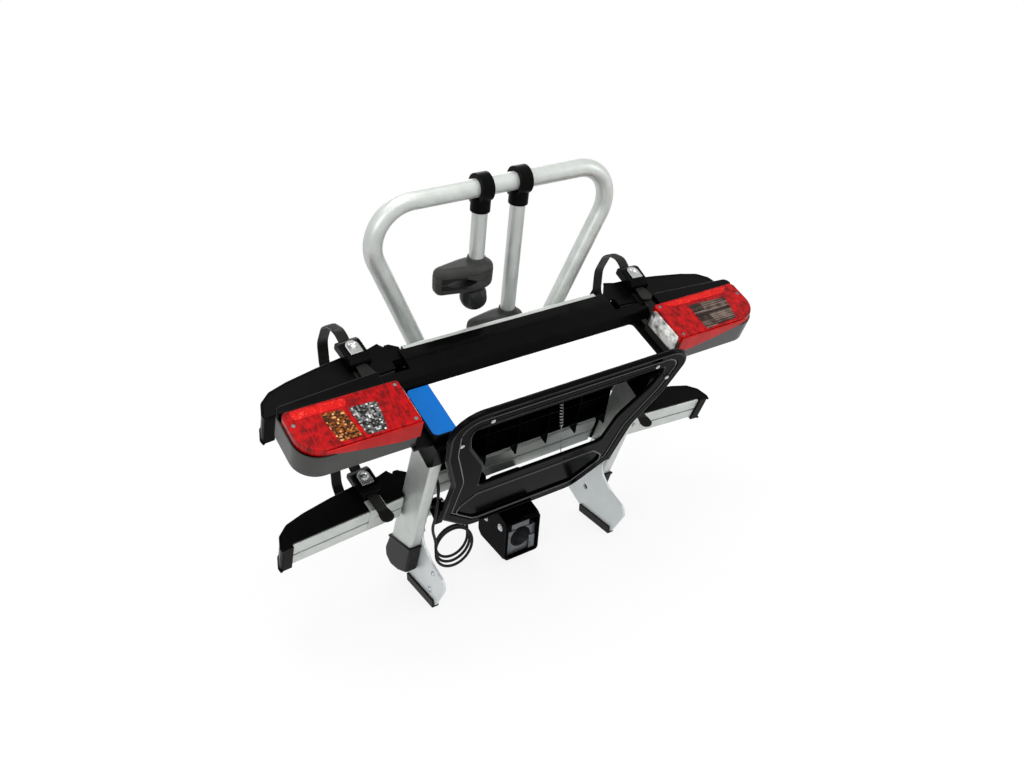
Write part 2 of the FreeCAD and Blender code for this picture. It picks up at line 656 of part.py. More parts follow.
def hoop_path(side=None):
    """The hoop's centre line in its own frame, from the left leg round to the right."""
    lean = rad(s.hoop_spread)
    reach = s.hoop_bend * math.tan((math.pi / 2 + lean) / 2)
    leg_way = V(math.sin(lean), 0, math.cos(lean))
    corner = V(s.hoop_corner, s.hoop_offset, s.hoop_height)
    leg_end = corner - leg_way * ((s.hoop_height - s.leg_start) / math.cos(lean))
    bend_start = corner - leg_way * reach
    bend_end = corner - X_AXIS * reach
    centre = bend_end - Z_AXIS * s.hoop_bend
    halfway = (bend_start - centre) + (bend_end - centre)
    halfway.normalize()
    bend_middle = centre + halfway * s.hoop_bend

    def flip(point):
        return V(-point.x, point.y, point.z)

    edges = [Part.LineSegment(flip(leg_end), flip(bend_start)),
             Part.Arc(flip(bend_start), flip(bend_middle), flip(bend_end)),
             Part.LineSegment(flip(bend_end), bend_end),
             Part.Arc(bend_end, bend_middle, bend_start),
             Part.LineSegment(bend_start, leg_end)]
    return Part.Wire([edge.toShape() for edge in edges]), leg_end, leg_way


def swept(wire, radius):
    """A round rod along a wire, as one pipe."""
    start = wire.OrderedEdges[0]
    at = start.valueAt(start.FirstParameter)
    way = start.tangentAt(start.FirstParameter)
    ring = Part.Wire([Part.makeCircle(radius, at, way)])
    return wire.makePipeShell([ring], True, False)


def hoop():
    wire = hoop_path()[0]
    outer = swept(wire, s.tube_radius)
    inner = swept(wire, s.tube_radius - s.tube_wall)
    return formed("hoop_tube", outer.cut(inner))


# The yoke: a casting that holds both legs of the hoop and turns on the base's pin
def hoop_yoke():
    low = s.leg_start - 12
    off = s.hoop_offset
    neck = prism("yoke_neck", "x", [[(-14, -12, 12), (14, -14, 13), (off + 22, low, 6),
                                     (off + 22, low + 20),
                                     (off - 22, low + 20), (off - 24, low, 6), (-14, 12, 10)]], -52.5, 105)
    head = prism("yoke_head", "y", [mirrored([(88, low, 8), (104, low + 58, 8), (60, low + 58, 8),
                                              (46, low + 26, 8)])], off - 23, 46)
    bore = cylinder("yoke_bore", "#hoop_pin + #pin_gap", 120, "x", -60, 0, 0)
    leg_ways = []
    end, way = hoop_path()[1:]
    for side, sign in SIDES.items():
        hole = doc.addObject("Part::Cylinder", "yoke_leg_" + side)
        direction = V(sign * way.x, 0, way.z)
        hole.Placement = FreeCAD.Placement(V(sign * end.x, end.y, end.z),
                                           FreeCAD.Rotation(Z_AXIS, direction))
        bind(hole, Radius="#tube_radius", Height=150)
        leg_ways.append(hole)
    return cut("yoke_bored", fuse("yoke_joined", neck, head), bore, *leg_ways)


# Bike arms: each hangs from the hoop's top bar. They are laid out from the bar's axis,
# with z up along the arm, and hang within the hoop's plane
def arm_placement(place_x):
    return hoop_placement() * FreeCAD.Placement(V(place_x, s.hoop_offset, s.hoop_height),
                                                FreeCAD.Rotation())


def collar(name):
    ring = cylinder(name + "_ring", "#collar_radius", "#collar_width", "x", "-#collar_width / 2", 0, 0)
    neck = cylinder(name + "_neck", "#arm_tube_radius + 4", 28, "z", 0, 0, -46)
    tab = prism(name + "_tab", "x", [[(17, -14), (27, -8), (30, -34, 4), (26, -40), (23, -34)]], -7, 14)
    bore = cylinder(name + "_bore", "#tube_radius + #clearance", "#collar_width + 20", "x",
                    "-#collar_width / 2 - 10", 0, 0)
    socket = cylinder(name + "_socket", "#arm_tube_radius", 16, "z", 0, 0, -47)
    return cut(name, fuse(name + "_joined", ring, neck, tab), bore, socket)


def arm_tube(name, length):
    outer = cylinder(name + "_outer", "#arm_tube_radius", length + " - 31", "z", 0, 0, "-(%s)" % length)
    inner = cylinder(name + "_inner", "#arm_tube_radius - #arm_tube_wall", length + " - 20", "z", 0, 0,
                     "-(%s) - 5" % length)
    return cut(name, outer, inner)


# Claw jaws: an almond in plan, its long end to the left, with a lens-shaped gap for a bike's tube
def almond(short=28):
    long_end = s.claw_length - short
    half = s.claw_width / 2
    return [(short, -half + 8, 20), (short, half - 8, 20), (-8, half, 60), (-long_end, 8, 9),
            (-long_end, -8, 9),
            (-8, -half, 60)]


def claw(name, length):
    body = prism(name + "_body", "z", [almond()], "-(%s) - #claw_upper" % length, "#claw_upper")
    socket = cylinder(name + "_socket", "#arm_tube_radius + 3", 22, "z", 0, 0, "-(%s) - 14" % length)
    seat = cylinder(name + "_seat", "#arm_tube_radius + #pin_gap", 40, "z", 0, 0,
                    "-(%s) - #clearance" % length)
    spindle = cylinder(name + "_thread", "5 + #pin_gap", 30, "z", 0, 0, "-(%s) - #claw_upper - 1" % length)
    gap = cylinder(name + "_gap", 60, "#claw_width + 4", "y", -42, "-#claw_width / 2 - 2",
                   "-(%s) - #claw_upper + 7 - 60" % length)
    return cut(name, fuse(name + "_joined", body, socket), seat, spindle, gap)


def claw_jaw(name, length):
    top = "-(%s) - #claw_upper - #clearance" % length
    body = prism(name + "_body", "z", [almond(24)], top + " - #claw_lower", "#claw_lower")
    hole = cylinder(name + "_hole", "5 + #pin_gap", 40, "z", 0, 0, top + " - 35")
    gap = cylinder(name + "_gap", 60, "#claw_width + 4", "y", -42, "-#claw_width / 2 - 2", top + " + 54")
    return cut(name, body, hole, gap)


def claw_knob(name, length):
    top = "-(%s) - #claw_upper - 2 * #clearance - #claw_lower" % length
    ball = doc.addObject("Part::Sphere", name + "_ball")
    bind(ball, Radius="#knob_radius")
    place(ball, 0, 0, top + " - #knob_radius + 4")
    above = cylinder(name + "_above", "#knob_radius + 4", 20, "z", 0, 0, top)
    stem = cylinder(name + "_stem", 5, "#claw_lower + #clearance * 2 + 26", "z", 0, 0, top + " - 6")
    lobes = []
    for i in range(3):
        angle = rad(90 + 120 * i)
        far = s.knob_radius + 13
        lobes.append(cylinder("%s_flute_%d" % (name, i), 15, 80, "z", far * math.cos(angle),
                              far * math.sin(angle),
                              top + " - 70"))
    return fuse(name, cut(name + "_grip", ball, above, *lobes), stem)


# The pedal: a moulded loop below the number plate, pivoted low between the rails
def pedal_placement():
    return FreeCAD.Placement(V(0, 0, s.pedal_low), FreeCAD.Rotation(X_AXIS, s.pedal_slope))


def mirrored(half_outline):
    """A closed outline from its right half, listed from the bottom up."""
    right = list(half_outline)
    left = [(-p[0],) + tuple(p[1:]) for p in reversed(right)]
    return right + left


def pedal():
    high = s.pedal_high - s.pedal_low
    reach = s.pedal_reach
    outer = mirrored([(132, 0, 50), (212, 78, 30), (214, 200, 60), (reach - 10, 310, 50),
                      (reach, high - 60, 40),
                      (reach - 6, high, 60)])
    inner = mirrored([(152, 160, 18), (162, 245, 60), (reach - 54, 325, 50), (reach - 44, high - 70, 30),
                      (reach - 50, high - 42, 20)])
    ring = prism("pedal_ring", "y", [outer, inner], "#pedal_back - #pedal_thick", "#pedal_thick")
    dish = mirrored([(118, 22, 40), (188, 88, 30), (140, 134, 18)])
    dished = prism("pedal_dish", "y", [dish], "#pedal_back - #pedal_thick - 1",
                   "#pedal_thick + 1 - #pedal_panel")
    trough = mirrored([(reach - 74, high - 10, 10), (reach - 78, high - 32, 10)])
    channel = prism("pedal_channel", "y", [trough], "#pedal_back - #pedal_thick - 1", 6)
    shell = cut("pedal_shell", ring, dished, channel)
    slope = rad(s.pedal_slope)
    pivot_y = 17 * math.cos(slope) + (s.pedal_pivot_along - s.pedal_low - 17) * math.sin(slope)
    pivot_z = (s.pedal_pivot_along - 17 - s.pedal_low) * math.cos(slope) - 17 * math.sin(slope)
    ears = []
    holes = []
    for side, sign in SIDES.items():
        ear = [(-6, pivot_z - 26), (-6, pivot_z + 30), (4, pivot_z + 26, 6),
               (pivot_y + 11, pivot_z + 9, 10),
               (pivot_y + 11, pivot_z - 9, 10), (4, pivot_z - 20, 6)]
        start = 200 if sign > 0 else -216
        ears.append(prism("pedal_ear_" + side, "x", [ear], start, 16))
        holes.append(cylinder("pedal_hole_" + side, "6 + #pin_gap", 40, "x", start - 12, pivot_y, pivot_z))
    hook = prism("pedal_hook", "x", [[(-8, 128), (-8, 146), (3, 142, 3), (6, 134, 3), (3, 130, 2)]], 63, 5)
    return cut("pedal_drilled", fuse("pedal_joined", shell, hook, *ears), *holes)


def arc_from(start, way, end):
    """An arc that leaves start along way and reaches end, or a line where it is straight."""
    chord = end - start
    across = chord - way * chord.dot(way)
    if across.Length < 1e-7 * chord.Length:
        return Part.LineSegment(start, end)
    across.normalize()
    radius = chord.dot(chord) / (2 * chord.dot(across))
    centre = start + across * radius
    halfway = (start - centre) + (end - centre)
    halfway.normalize()
    return Part.Arc(start, centre + halfway * radius, end)


def biarc(start, start_way, end, end_way):
    """Two tangent arcs between two points with given directions."""
    chord = end - start
    both = start_way + end_way
    curve = 2 * (start_way.dot(end_way) - 1)
    slope = -2 * chord.dot(both)
    if abs(curve) < 1e-9:
        reach = chord.dot(chord) / (2 * chord.dot(both))
    else:
        reach = (-slope - math.sqrt(slope * slope - 4 * curve * chord.dot(chord))) / (2 * curve)
    joint = (start + end + (start_way - end_way) * reach) * 0.5
    first = arc_from(start, start_way, joint)
    back = arc_from(end, end_way * -1, joint)
    if isinstance(back, Part.LineSegment):
        second = Part.LineSegment(joint, end)
    else:
        second = Part.Arc(joint, back.value((back.FirstParameter + back.LastParameter) / 2), end)
    return [first, second]


def wire_through(stations):
    """A wire of tangent arcs through (point, direction) stations."""
    edges = []
    for (start, start_way), (end, end_way) in zip(stations, stations[1:]):
        edges += biarc(start, start_way, end, end_way)
    return Part.Wire([edge.toShape() for edge in edges])


def least_self_gap(wire, radius, skip):
    """The least distance between stretches of a tube that aren't neighbours, wall to wall."""
    points = wire.discretize(Distance=max(0.8, radius / 2))
    step = (points[1] - points[0]).Length
    apart = int(skip / step) + 1
    least = 1e9
    for i in range(0, len(points), 2):
        for j in range(i + apart, len(points), 2):
            least = min(least, (points[i] - points[j]).Length)
    return least - 2 * radius


# The return spring: hooked under the bridge, coiled, and drawn out in a straight wire to the pedal
def pedal_spring():
    top = V(60, 45, 428)
    bottom = V(65.5, -5.2, 295.5)
    way = (bottom - top).normalize()
    side = way.cross(X_AXIS).normalize()
    other = way.cross(side)
    turns = int(s.spring_turns)
    radius = s.spring_radius - s.spring_wire / 2
    coil_start, coil_length = 10, 62
    stations = [(top, way), (top + way * (coil_start - 4), way)]
    steps = turns * 4
    for i in range(steps + 1):
        angle = i * math.pi / 2
        grow = math.sin(min(i, steps - i, 4) / 4 * math.pi / 2)
        out = side * math.cos(angle) + other * math.sin(angle)
        along = -side * math.sin(angle) + other * math.cos(angle)
        centre = top + way * (coil_start + coil_length * i / steps)
        climb = coil_length / steps / (math.pi / 2 * radius)
        stations.append((centre + out * radius * grow, (along + way * climb * (1 if grow > 0.5 else 3)).normalize()))
    stations.append((bottom - way * 40, way))
    stations.append((bottom, way))
    wire = wire_through(stations)
    tube = swept(wire, s.spring_wire / 2)
    print("spring least self-gap %.2f mm, volume share %.3f" % (
        least_self_gap(wire, s.spring_wire / 2, 12),
        tube.Volume / (math.pi * (s.spring_wire / 2) ** 2 * wire.Length)))
    return formed("spring_form", tube)


# The coupling: its frame starts at the tilt axle, y up when driving; it hangs steeper than the platform
def coupling_placement():
    return FreeCAD.Placement(V(0, s.axle_up, s.axle_along), FreeCAD.Rotation(X_AXIS, -s.coupling_swing))


def coupling_housing():
    top = -s.housing_drop
    bottom = top - s.housing_length
    front = -60
    back = front + s.housing_depth
    wall = s.housing_wall
    half = s.housing_width / 2
    profile = [(front, bottom, 8), (front, top, 10), (-6, top + 12, 8), (-15, -14, 14), (2, 20, 11),
               (18, 14, 12),
               (back, -20, 8), (back, bottom + 10, 14), (back - 12, bottom, 8)]
    solid = prism("housing_solid", "x", [profile], "-#housing_width / 2", "#housing_width")
    hollow = box("housing_hollow", "#housing_width - 2 * #housing_wall", back - wall - front + 10,
                 "#housing_length - 2 * #housing_wall", "-#housing_width / 2 + #housing_wall", front - 10,
                 bottom + wall)
    waist = []
    for side, sign in SIDES.items():
        start = half - 10 if sign > 0 else -half - 10
        waist.append(box("housing_waist_" + side, 20, 120, 90, start, -40, top + 10))
    bore = cylinder("housing_bore", "#axle_radius + #pin_gap", 120, "x", -60, 0, 0)
    return cut("housing_bored", solid, hollow, bore, *waist)


def ball_middle():
    return -s.housing_drop - s.housing_length / 2 - 4


def ball_cup():
    front = -60 + 6
    back = -60 + s.housing_depth - s.housing_wall
    top = -s.housing_drop - s.housing_wall
    bottom = -s.housing_drop - s.housing_length + s.housing_wall
    split = top - 26
    block = box("cup_block", "#housing_width - 2 * #housing_wall", back - front, split - bottom,
                "-#housing_width / 2 + #housing_wall", front, bottom)
    socket = cylinder("cup_socket", "#ball_radius", "#cup_depth", "y", 0, front - 10, ball_middle())
    return cut("cup_bored", block, socket)


# The ball jaw: closes on the ball from above as the lever goes down
def ball_jaw():
    front = -60 + 6
    top = -s.housing_drop - s.housing_wall
    split = top - 26 + 0.5
    depth = s.cup_depth - 16
    block = box("jaw_block", "#jaw_width", depth, top - split - 11, "-#jaw_width / 2", front + 2, split)
    socket = cylinder("jaw_socket", "#ball_radius + 0.3", "#cup_depth + 20", "y", 0, front - 10,
                      ball_middle())
    return cut("jaw_bored", block, socket)


def coupling_lever():
    back = -60 + s.housing_depth
    pivot_y, pivot_z = back + 12, -s.housing_drop - 8
    reach = s.lever_length
    arm = [(pivot_y - 8, pivot_z + 8, 7), (pivot_y + 8, pivot_z + 8, 7), (pivot_y + 9, pivot_z - 30, 30),
           (pivot_y + 16, pivot_z - reach, 6), (pivot_y + 4, pivot_z - reach, 4),
           (pivot_y - 4, pivot_z - 30, 20),
           (pivot_y - 8, pivot_z - 8, 6)]
    blade = prism("lever_blade", "x", [arm], "-#lever_width / 2", "#lever_width")
    hole = cylinder("lever_hole", "5 + #pin_gap", 60, "x", -30, pivot_y, pivot_z)
    return cut("lever_drilled", blade, hole)


def lever_bracket():
    """Two ears on the back of the housing with the lever's pin."""
    back = -60 + s.housing_depth
    pivot_y, pivot_z = back + 12, -s.housing_drop - 8
    pieces = []
    for side, sign in SIDES.items():
        ear = [(back - 1, pivot_z - 14), (back - 1, pivot_z + 14), (pivot_y + 7, pivot_z + 8, 7),
               (pivot_y + 7, pivot_z - 8, 7)]
        start = s.lever_width / 2 + 0.4 if sign > 0 else -s.lever_width / 2 - 6.4
        pieces.append(prism("lever_ear_" + side, "x", [ear], start, 6))
    pieces.append(cylinder("lever_pin", 5, "#lever_width + 16", "x", -s.lever_width / 2 - 8, pivot_y,
                           pivot_z))
    return pieces


# The lamps' lead: it leaves its gland under the bridge, passes between the pedal and the left rail,
# hangs in loops and turns up to a plug that is parked in a clip under the front cross bar
def stand():
    return FreeCAD.Placement(V(), FreeCAD.Rotation(X_AXIS, s.lean))


GLAND_MOUTH = V(-215, 44, 330)
PLUG_MOUTH = V(-108, 28, 214)
LOOPS_START = V(-202, -66, 98)
LOOPS_END = V(-110, -36, 98)
LOOPS_DOWN = V(0, 0.06, -1).normalize()
LOOPS_UP = V(0, 0.06, 1).normalize()


def lead_fittings():
    gland = cylinder("gland_body", 7, 20, "y", GLAND_MOUTH.x, GLAND_MOUTH.y, GLAND_MOUTH.z)
    nut = cylinder("gland_nut", 10, 7, "y", GLAND_MOUTH.x, GLAND_MOUTH.y + 6, GLAND_MOUTH.z)
    sleeve = doc.addObject("Part::Cone", "plug_sleeve")
    bind(sleeve, Radius1=5, Radius2=9, Height=22)
    place(sleeve, PLUG_MOUTH.x, PLUG_MOUTH.y, PLUG_MOUTH.z)
    barrel = cylinder("plug_barrel", 17, 36, "z", PLUG_MOUTH.x, PLUG_MOUTH.y, PLUG_MOUTH.z + 22)
    under = s.rail_depth + 0.5
    clip = box("plug_clip", 16, under - PLUG_MOUTH.y - 12, 14, PLUG_MOUTH.x - 8, PLUG_MOUTH.y + 12,
               PLUG_MOUTH.z + 28)
    return group("lead_fittings_group", fuse("lead_gland", gland, nut),
                 fuse("lead_plug", sleeve, barrel, clip))


def route(name, points):
    """Straight runs joined by tangent arcs, each as large as its two runs allow."""
    edges = []
    radii = []
    at = points[0]
    for before, here, after in zip(points, points[1:], points[2:]):
        way_in = (here - before).normalize()
        way_out = (after - here).normalize()
        half_turn = math.tan(way_in.getAngle(way_out) / 2)
        reach = 0.45 * min((here - before).Length, (after - here).Length)
        radii.append(reach / half_turn)
        start, end = here - way_in * reach, here + way_out * reach
        inward = (way_out - way_in).normalize()
        depth = math.hypot(radii[-1], reach) - radii[-1]
        edges += [Part.LineSegment(at, start), Part.Arc(start, here + inward * depth, end)]
        at = end
    edges.append(Part.LineSegment(at, points[-1]))
    print("%s bend radii %s mm" % (name, ", ".join("%.0f" % radius for radius in radii)))
    return Part.Wire([edge.toShape() for edge in edges])


def lead_drop():
    mouth = stand().multVec(GLAND_MOUTH)
    points = [mouth]
    for turned, step, aside in ((90 - s.lean, 14, 0), (45, 14, 0), (22, 16, -0.12), (2, 28, -0.14)):
        way = V(aside, -math.sin(rad(turned)), -math.cos(rad(turned))).normalize()
        points.append(points[-1] + way * step)
    points += [V(-222, -108, 222), V(-219, -86, 182), LOOPS_START - LOOPS_DOWN * 36, LOOPS_START]
    return route("lead drop", points)


def lead_loops():
    """Two and a half hanging loops that close in a little and step towards the rack."""
    quarters = 10
    first = (LOOPS_END - LOOPS_START) / 2
    stations = []
    for i in range(quarters + 1):
        share = i / quarters
        angle = math.pi + i * math.pi / 2
        radius = 44 - 6 * share
        centre = V(LOOPS_START.x + 44 + 10 * share, LOOPS_START.y + 2 * first.y * share, LOOPS_START.z)
        out = V(math.cos(angle), 0, math.sin(angle))
        along = V(-math.sin(angle), 0.06, math.cos(angle)).normalize()
        stations.append((centre + out * radius, along))
    wire = wire_through(stations)
    print("lead loops least self-gap %.2f mm" % least_self_gap(wire, s.lead_radius, 60))
    return wire


def lead_tail():
    end = stand().multVec(PLUG_MOUTH)
    way = stand().multVec(V(0, 0, 1))
    points = [LOOPS_END, LOOPS_END + LOOPS_UP * 28, V(-109.5, -37, 156), end - way * 22, end]
    return route("lead tail", points)


# Fasteners: bolts through the foot plates and rails, and the pedal's pivot bolts
def fasteners():
    bolts = []
    inner = s.rail_pitch / 2 - s.rail_width / 2
    places = [(20, 200), (52, 206), (16, 172)]
    for side, sign in SIDES.items():
        for i, (y, z) in enumerate(places):
            name = "bolt_%s_%d" % (side, i)
            head_start = sign * (inner - s.foot_thick) - (s.bolt_head_height if sign > 0 else 0)
            shank_start = sign * (inner - s.foot_thick) if sign > 0 else -inner - s.rail_wall
            head = cylinder(name + "_head", "#bolt_head", "#bolt_head_height", "x", head_start, y, z)
            shank = cylinder(name + "_shank", "#bolt_radius", "#foot_thick + #rail_wall", "x", shank_start,
                             y, z)
            bolts.append(fuse(name, head, shank))
        pivot_start = 196 if sign > 0 else -inner - s.rail_wall
        length = inner + s.rail_wall - 196
        pin = cylinder("pedal_pin_" + side, 6, length, "x", pivot_start, 17, s.pedal_pivot_along - 17)
        head_start = 190 if sign > 0 else -196
        head = cylinder("pedal_pin_head_" + side, 10, 6, "x", head_start, 17, s.pedal_pivot_along - 17)
        bolts.append(fuse("pedal_bolt_" + side, pin, head))
    return group("bolts", *bolts)


# The platform
bolts = fasteners()
keep(group("bolts_fitted", bolts), "fasteners")
for side in SIDES:
    keep(cut("rail_%s_drilled" % side, rail(side), bolts), "rail_" + side)
keep(group("rail_caps", *[rail_cap(side) for side in SIDES]), "rail_caps")
keep(crossbar("front_crossbar_bar", s.front_row, 0), "front_crossbar")
keep(crossbar("rear_crossbar_bar", s.rear_row, s.rear_rise), "rear_crossbar")
ROWS = {"front": (s.front_row, 0), "rear": (s.rear_row, s.rear_rise)}
hinges = []
for row_name, (row, rise) in ROWS.items():
    for side in SIDES:
        hinges.append(tray_hinge(side, row_name, row, rise))
keep(group("tray_hinges_group", *hinges), "tray_hinges")
plates = [cut("foot_plate_%s_drilled" % side, foot_plate(side), bolts) for side in SIDES]
keep(group("foot_plates_group", tilt_axle(), *plates), "foot_plates")
keep(group("foot_rubbers_group", *[foot_rubber(side) for side in SIDES]), "foot_rubbers")
keep(centre_bridge(), "centre_bridge")
keep(light_board(), "light_board")
keep(plate_holder(), "plate_holder")
keep(number_plate(), "number_plate")
keep(group("lamp_housings_group", *[lamp_housing(side) for side in SIDES]), "lamp_housings")
keep(group("lamp_lenses_group", *[lamp_lens(side) for side in SIDES]), "lamp_lenses")
keep(group("lamp_inserts_group", *[lamp_insert(side) for side in SIDES]), "lamp_inserts")
keep(group("board_brackets_group", *[board_bracket(side) for side in SIDES]), "board_brackets")
keep(hoop_base(), "hoop_base")

# The moving pieces
keep(pedal(), "pedal", pedal_placement())
keep(pedal_spring(), "pedal_spring")
keep(fuse("coupling_housing_eared", coupling_housing(), *lever_bracket()), "coupling_housing",
     coupling_placement())
keep(ball_cup(), "ball_cup", coupling_placement())
keep(ball_jaw(), "ball_jaw", coupling_placement())
keep(coupling_lever(), "coupling_lever", coupling_placement())
keep(hoop(), "hoop", hoop_placement())
keep(hoop_yoke(), "hoop_yoke", hoop_placement())
for arm_name in ("short", "long"):
    length = "#%s_length" % arm_name
    at = arm_placement(getattr(s, arm_name + "_place"))
    keep(collar(arm_name + "_arm_collar"), arm_name + "_arm_collar", at)
    keep(arm_tube(arm_name + "_arm_tube", length), arm_name + "_arm_tube", at)
    keep(claw(arm_name + "_claw", length), arm_name + "_claw", at)
    keep(claw_jaw(arm_name + "_claw_jaw", length), arm_name + "_claw_jaw", at)
    keep(claw_knob(arm_name + "_claw_knob", length), arm_name + "_claw_knob", at)
for row_name, (row, rise) in ROWS.items():
    for side, sign in SIDES.items():
        name = "%s_%s" % (row_name, side)
        at = tray_placement(side, row, rise)
        arm = group("tray_arm_%s_group" % name, tray_arm("tray_arm_" + name, sign),
                    tray_anchor("anchor_" + name, sign))
        keep(arm, "tray_arm_" + name, at)
        keep(tray("tray_%s" % name, sign), "tray_" + name, at)
        tail = getattr(s, row_name + "_tail")
        keep(strap("strap_%s_body" % name, sign, tail), "strap_" + name, at)
        keep(buckle("buckle_%s_all" % name, sign), "buckle_" + name, at)
        keep(button("button_%s_body" % name, sign), "button_" + name, at)

keep(lead_fittings(), "lead_fittings")

# Everything is stood up on its feet
doc.recompute()
for thing in parts:
    thing.Placement = stand() * thing.Placement

# The lead hangs freely, so it is laid out as it stands, and then the origin goes to the bottom centre
for label, wire in (("lead_drop", lead_drop()), ("lead_loops", lead_loops()), ("lead_tail", lead_tail())):
    tube = swept(wire, s.lead_radius)
    share = tube.Volume / (math.pi * s.lead_radius ** 2 * wire.Length)
    print("%s length %.0f mm, volume share %.3f" % (label, wire.Length, share))
    keep(formed(label + "_tube", tube), label)
doc.recompute()
whole = FreeCAD.BoundBox()
for thing in parts:
    whole.add(thing.Shape.BoundBox)
shift = FreeCAD.Placement(V(-whole.Center.x, -whole.Center.y, 0), FreeCAD.Rotation())
for thing in parts:
    thing.Placement = shift * thing.Placement
doc.recompute()
print("shift %.3f %.3f, box %s" % (shift.Base.x, shift.Base.y, whole))

# Checks, then one file for each sub-part
for thing in doc.Objects:
    if "Invalid" in thing.State or "Error" in thing.State:
        raise RuntimeError("%s failed: %s" % (thing.Name, thing.State))
for thing in parts:
    if thing.Shape.isNull() or not thing.Shape.isValid() or not thing.Shape.Solids:
        raise RuntimeError("%s has no valid shape" % thing.Label)
os.makedirs("parts", exist_ok=True)
for thing in parts:
    thing.Shape.exportStep(os.path.join("parts", thing.Label + ".step"))
print("%d sub-parts written" % len(parts))
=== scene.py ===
# %% [markdown]
# # A tow-ball bike rack, standing in storage
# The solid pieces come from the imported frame: rails, cross bars, hoop, hinges. This script gives each of
# them a real finish, and makes again, with more shape, the pieces whose character is in soft edges, ribs
# and moulded detail: trays, straps, buckles, lamps, pedal, claws and the lead.

# %% Open the frame
import fnmatch
import json
import math
import bpy
import bmesh
from mathutils import Matrix, Vector


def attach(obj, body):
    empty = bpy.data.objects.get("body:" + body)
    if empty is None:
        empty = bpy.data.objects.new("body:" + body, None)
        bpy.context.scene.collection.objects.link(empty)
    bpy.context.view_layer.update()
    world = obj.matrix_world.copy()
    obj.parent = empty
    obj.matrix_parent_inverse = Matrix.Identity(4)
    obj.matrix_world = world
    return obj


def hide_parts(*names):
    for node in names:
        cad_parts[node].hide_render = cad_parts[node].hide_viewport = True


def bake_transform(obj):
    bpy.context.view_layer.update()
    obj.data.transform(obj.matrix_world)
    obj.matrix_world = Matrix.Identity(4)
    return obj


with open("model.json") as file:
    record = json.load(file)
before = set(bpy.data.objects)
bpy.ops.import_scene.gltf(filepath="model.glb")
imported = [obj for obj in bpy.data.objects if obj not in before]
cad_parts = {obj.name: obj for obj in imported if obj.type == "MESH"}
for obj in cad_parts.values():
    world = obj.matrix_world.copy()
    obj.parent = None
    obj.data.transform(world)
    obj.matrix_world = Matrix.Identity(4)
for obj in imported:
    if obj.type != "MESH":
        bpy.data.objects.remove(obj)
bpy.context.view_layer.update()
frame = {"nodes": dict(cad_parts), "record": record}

# %% [markdown]
# The platform leans back as it stands. Its own axes are x across the car, y up to the bikes and z to the
# rear, so pieces are laid out in those axes in millimetres and then moved into the room by one matrix.
# How far the platform sits from the origin is read from the axle's joint, so it always agrees with the solids.

# %% The platform's own axes
LEAN = math.radians(23)
AXLE = (0, 45, 180)
joints = {joint["name"]: joint for joint in frame["record"]["behaviour"]["joints"]}
axle_in_room = Vector(joints["coupling_tilt"]["pos_m"])
lean_turn = Matrix.Rotation(LEAN, 4, "X")
platform_shift = axle_in_room - lean_turn @ (Vector(AXLE) * 0.001)
PLATFORM = Matrix.Translation(platform_shift) @ lean_turn @ Matrix.Scale(0.001, 4)


def moved(x=0, y=0, z=0):
    return Matrix.Translation((x, y, z))


def turned(degrees, axis):
    return Matrix.Rotation(math.radians(degrees), 4, axis)


COUPLING = PLATFORM @ moved(*AXLE) @ turned(-17, "X")
PEDAL = PLATFORM @ moved(0, 0, 160) @ turned(5.2, "X")
HOOP = PLATFORM @ moved(0, 150, 205) @ turned(-13.6, "X")
ARMS = {"short": (-38, 150), "long": (46, 285)}
SIDES = {"left": -1, "right": 1}
ROWS = {"front": (222, 0), "rear": (475, 108)}
print("platform sits at", [round(v, 4) for v in platform_shift])

# %% [markdown]
# The camera stands high on the left, as in the photograph. A 35 mm lens on a 36 mm sensor gives the same
# perspective, and the three angles below are its yaw, pitch and roll.

# %% Camera
camera_data = bpy.data.cameras.new("camera")
camera_data.sensor_width = 36
camera_data.lens = 35.009
camera_data.clip_end = 60
camera = bpy.data.objects.new("camera", camera_data)
bpy.context.scene.collection.objects.link(camera)
YAW, PITCH, ROLL = 0.58355, 0.48754, -0.00289
ahead = Vector((math.sin(YAW) * math.cos(PITCH), math.cos(YAW) * math.cos(PITCH), -math.sin(PITCH)))
across = Vector((math.cos(YAW), -math.sin(YAW), 0))
above = across.cross(ahead)
right = across * math.cos(ROLL) + above * math.sin(ROLL)
above = right.cross(ahead)
place = Vector((-0.96334, -1.49962 + platform_shift.y, 1.34670))
camera.matrix_world = Matrix((right, above, -ahead)).transposed().to_4x4()
camera.location = place
bpy.context.scene.camera = camera

# %% [markdown]
# Black plastic is drawn by what it reflects. Two broad soft boxes light the whole rack at a plain level, and
# two narrow strips draw the thin highlights along rims and edges. Floor and world look white to straight,
# mirrored and transmitted rays, and near the rack the floor keeps a share of its shading as a soft shadow.


# %% Node helper
def hex_colour(text):
    """sRGB hex to linear."""
    values = [int(text[i:i + 2], 16) / 255 for i in (1, 3, 5)]
    linear = [v / 12.92 if v <= 0.04045 else ((v + 0.055) / 1.055) ** 2.4 for v in values]
    return (*linear, 1)


def add_node(tree, kind, settings=(), inputs=(), links=()):
    """Adds a node, sets its properties and sockets, and links outputs of others to its inputs."""
    node = tree.nodes.new(kind)
    for name, value in dict(settings).items():
        setattr(node, name, value)
    for name, value in dict(inputs).items():
        node.inputs[name].default_value = value
    for name, source in dict(links).items():
        tree.links.new(source, node.inputs[name])
    return node


def shader(name, **sockets):
    """A material with a Principled shader whose plain sockets are set by name."""
    material = bpy.data.materials.new(name)
    material.use_nodes = True
    principled = material.node_tree.nodes["Principled BSDF"]
    for socket, value in sockets.items():
        principled.inputs[socket.replace("_", " ")].default_value = value
    return material, material.node_tree, principled


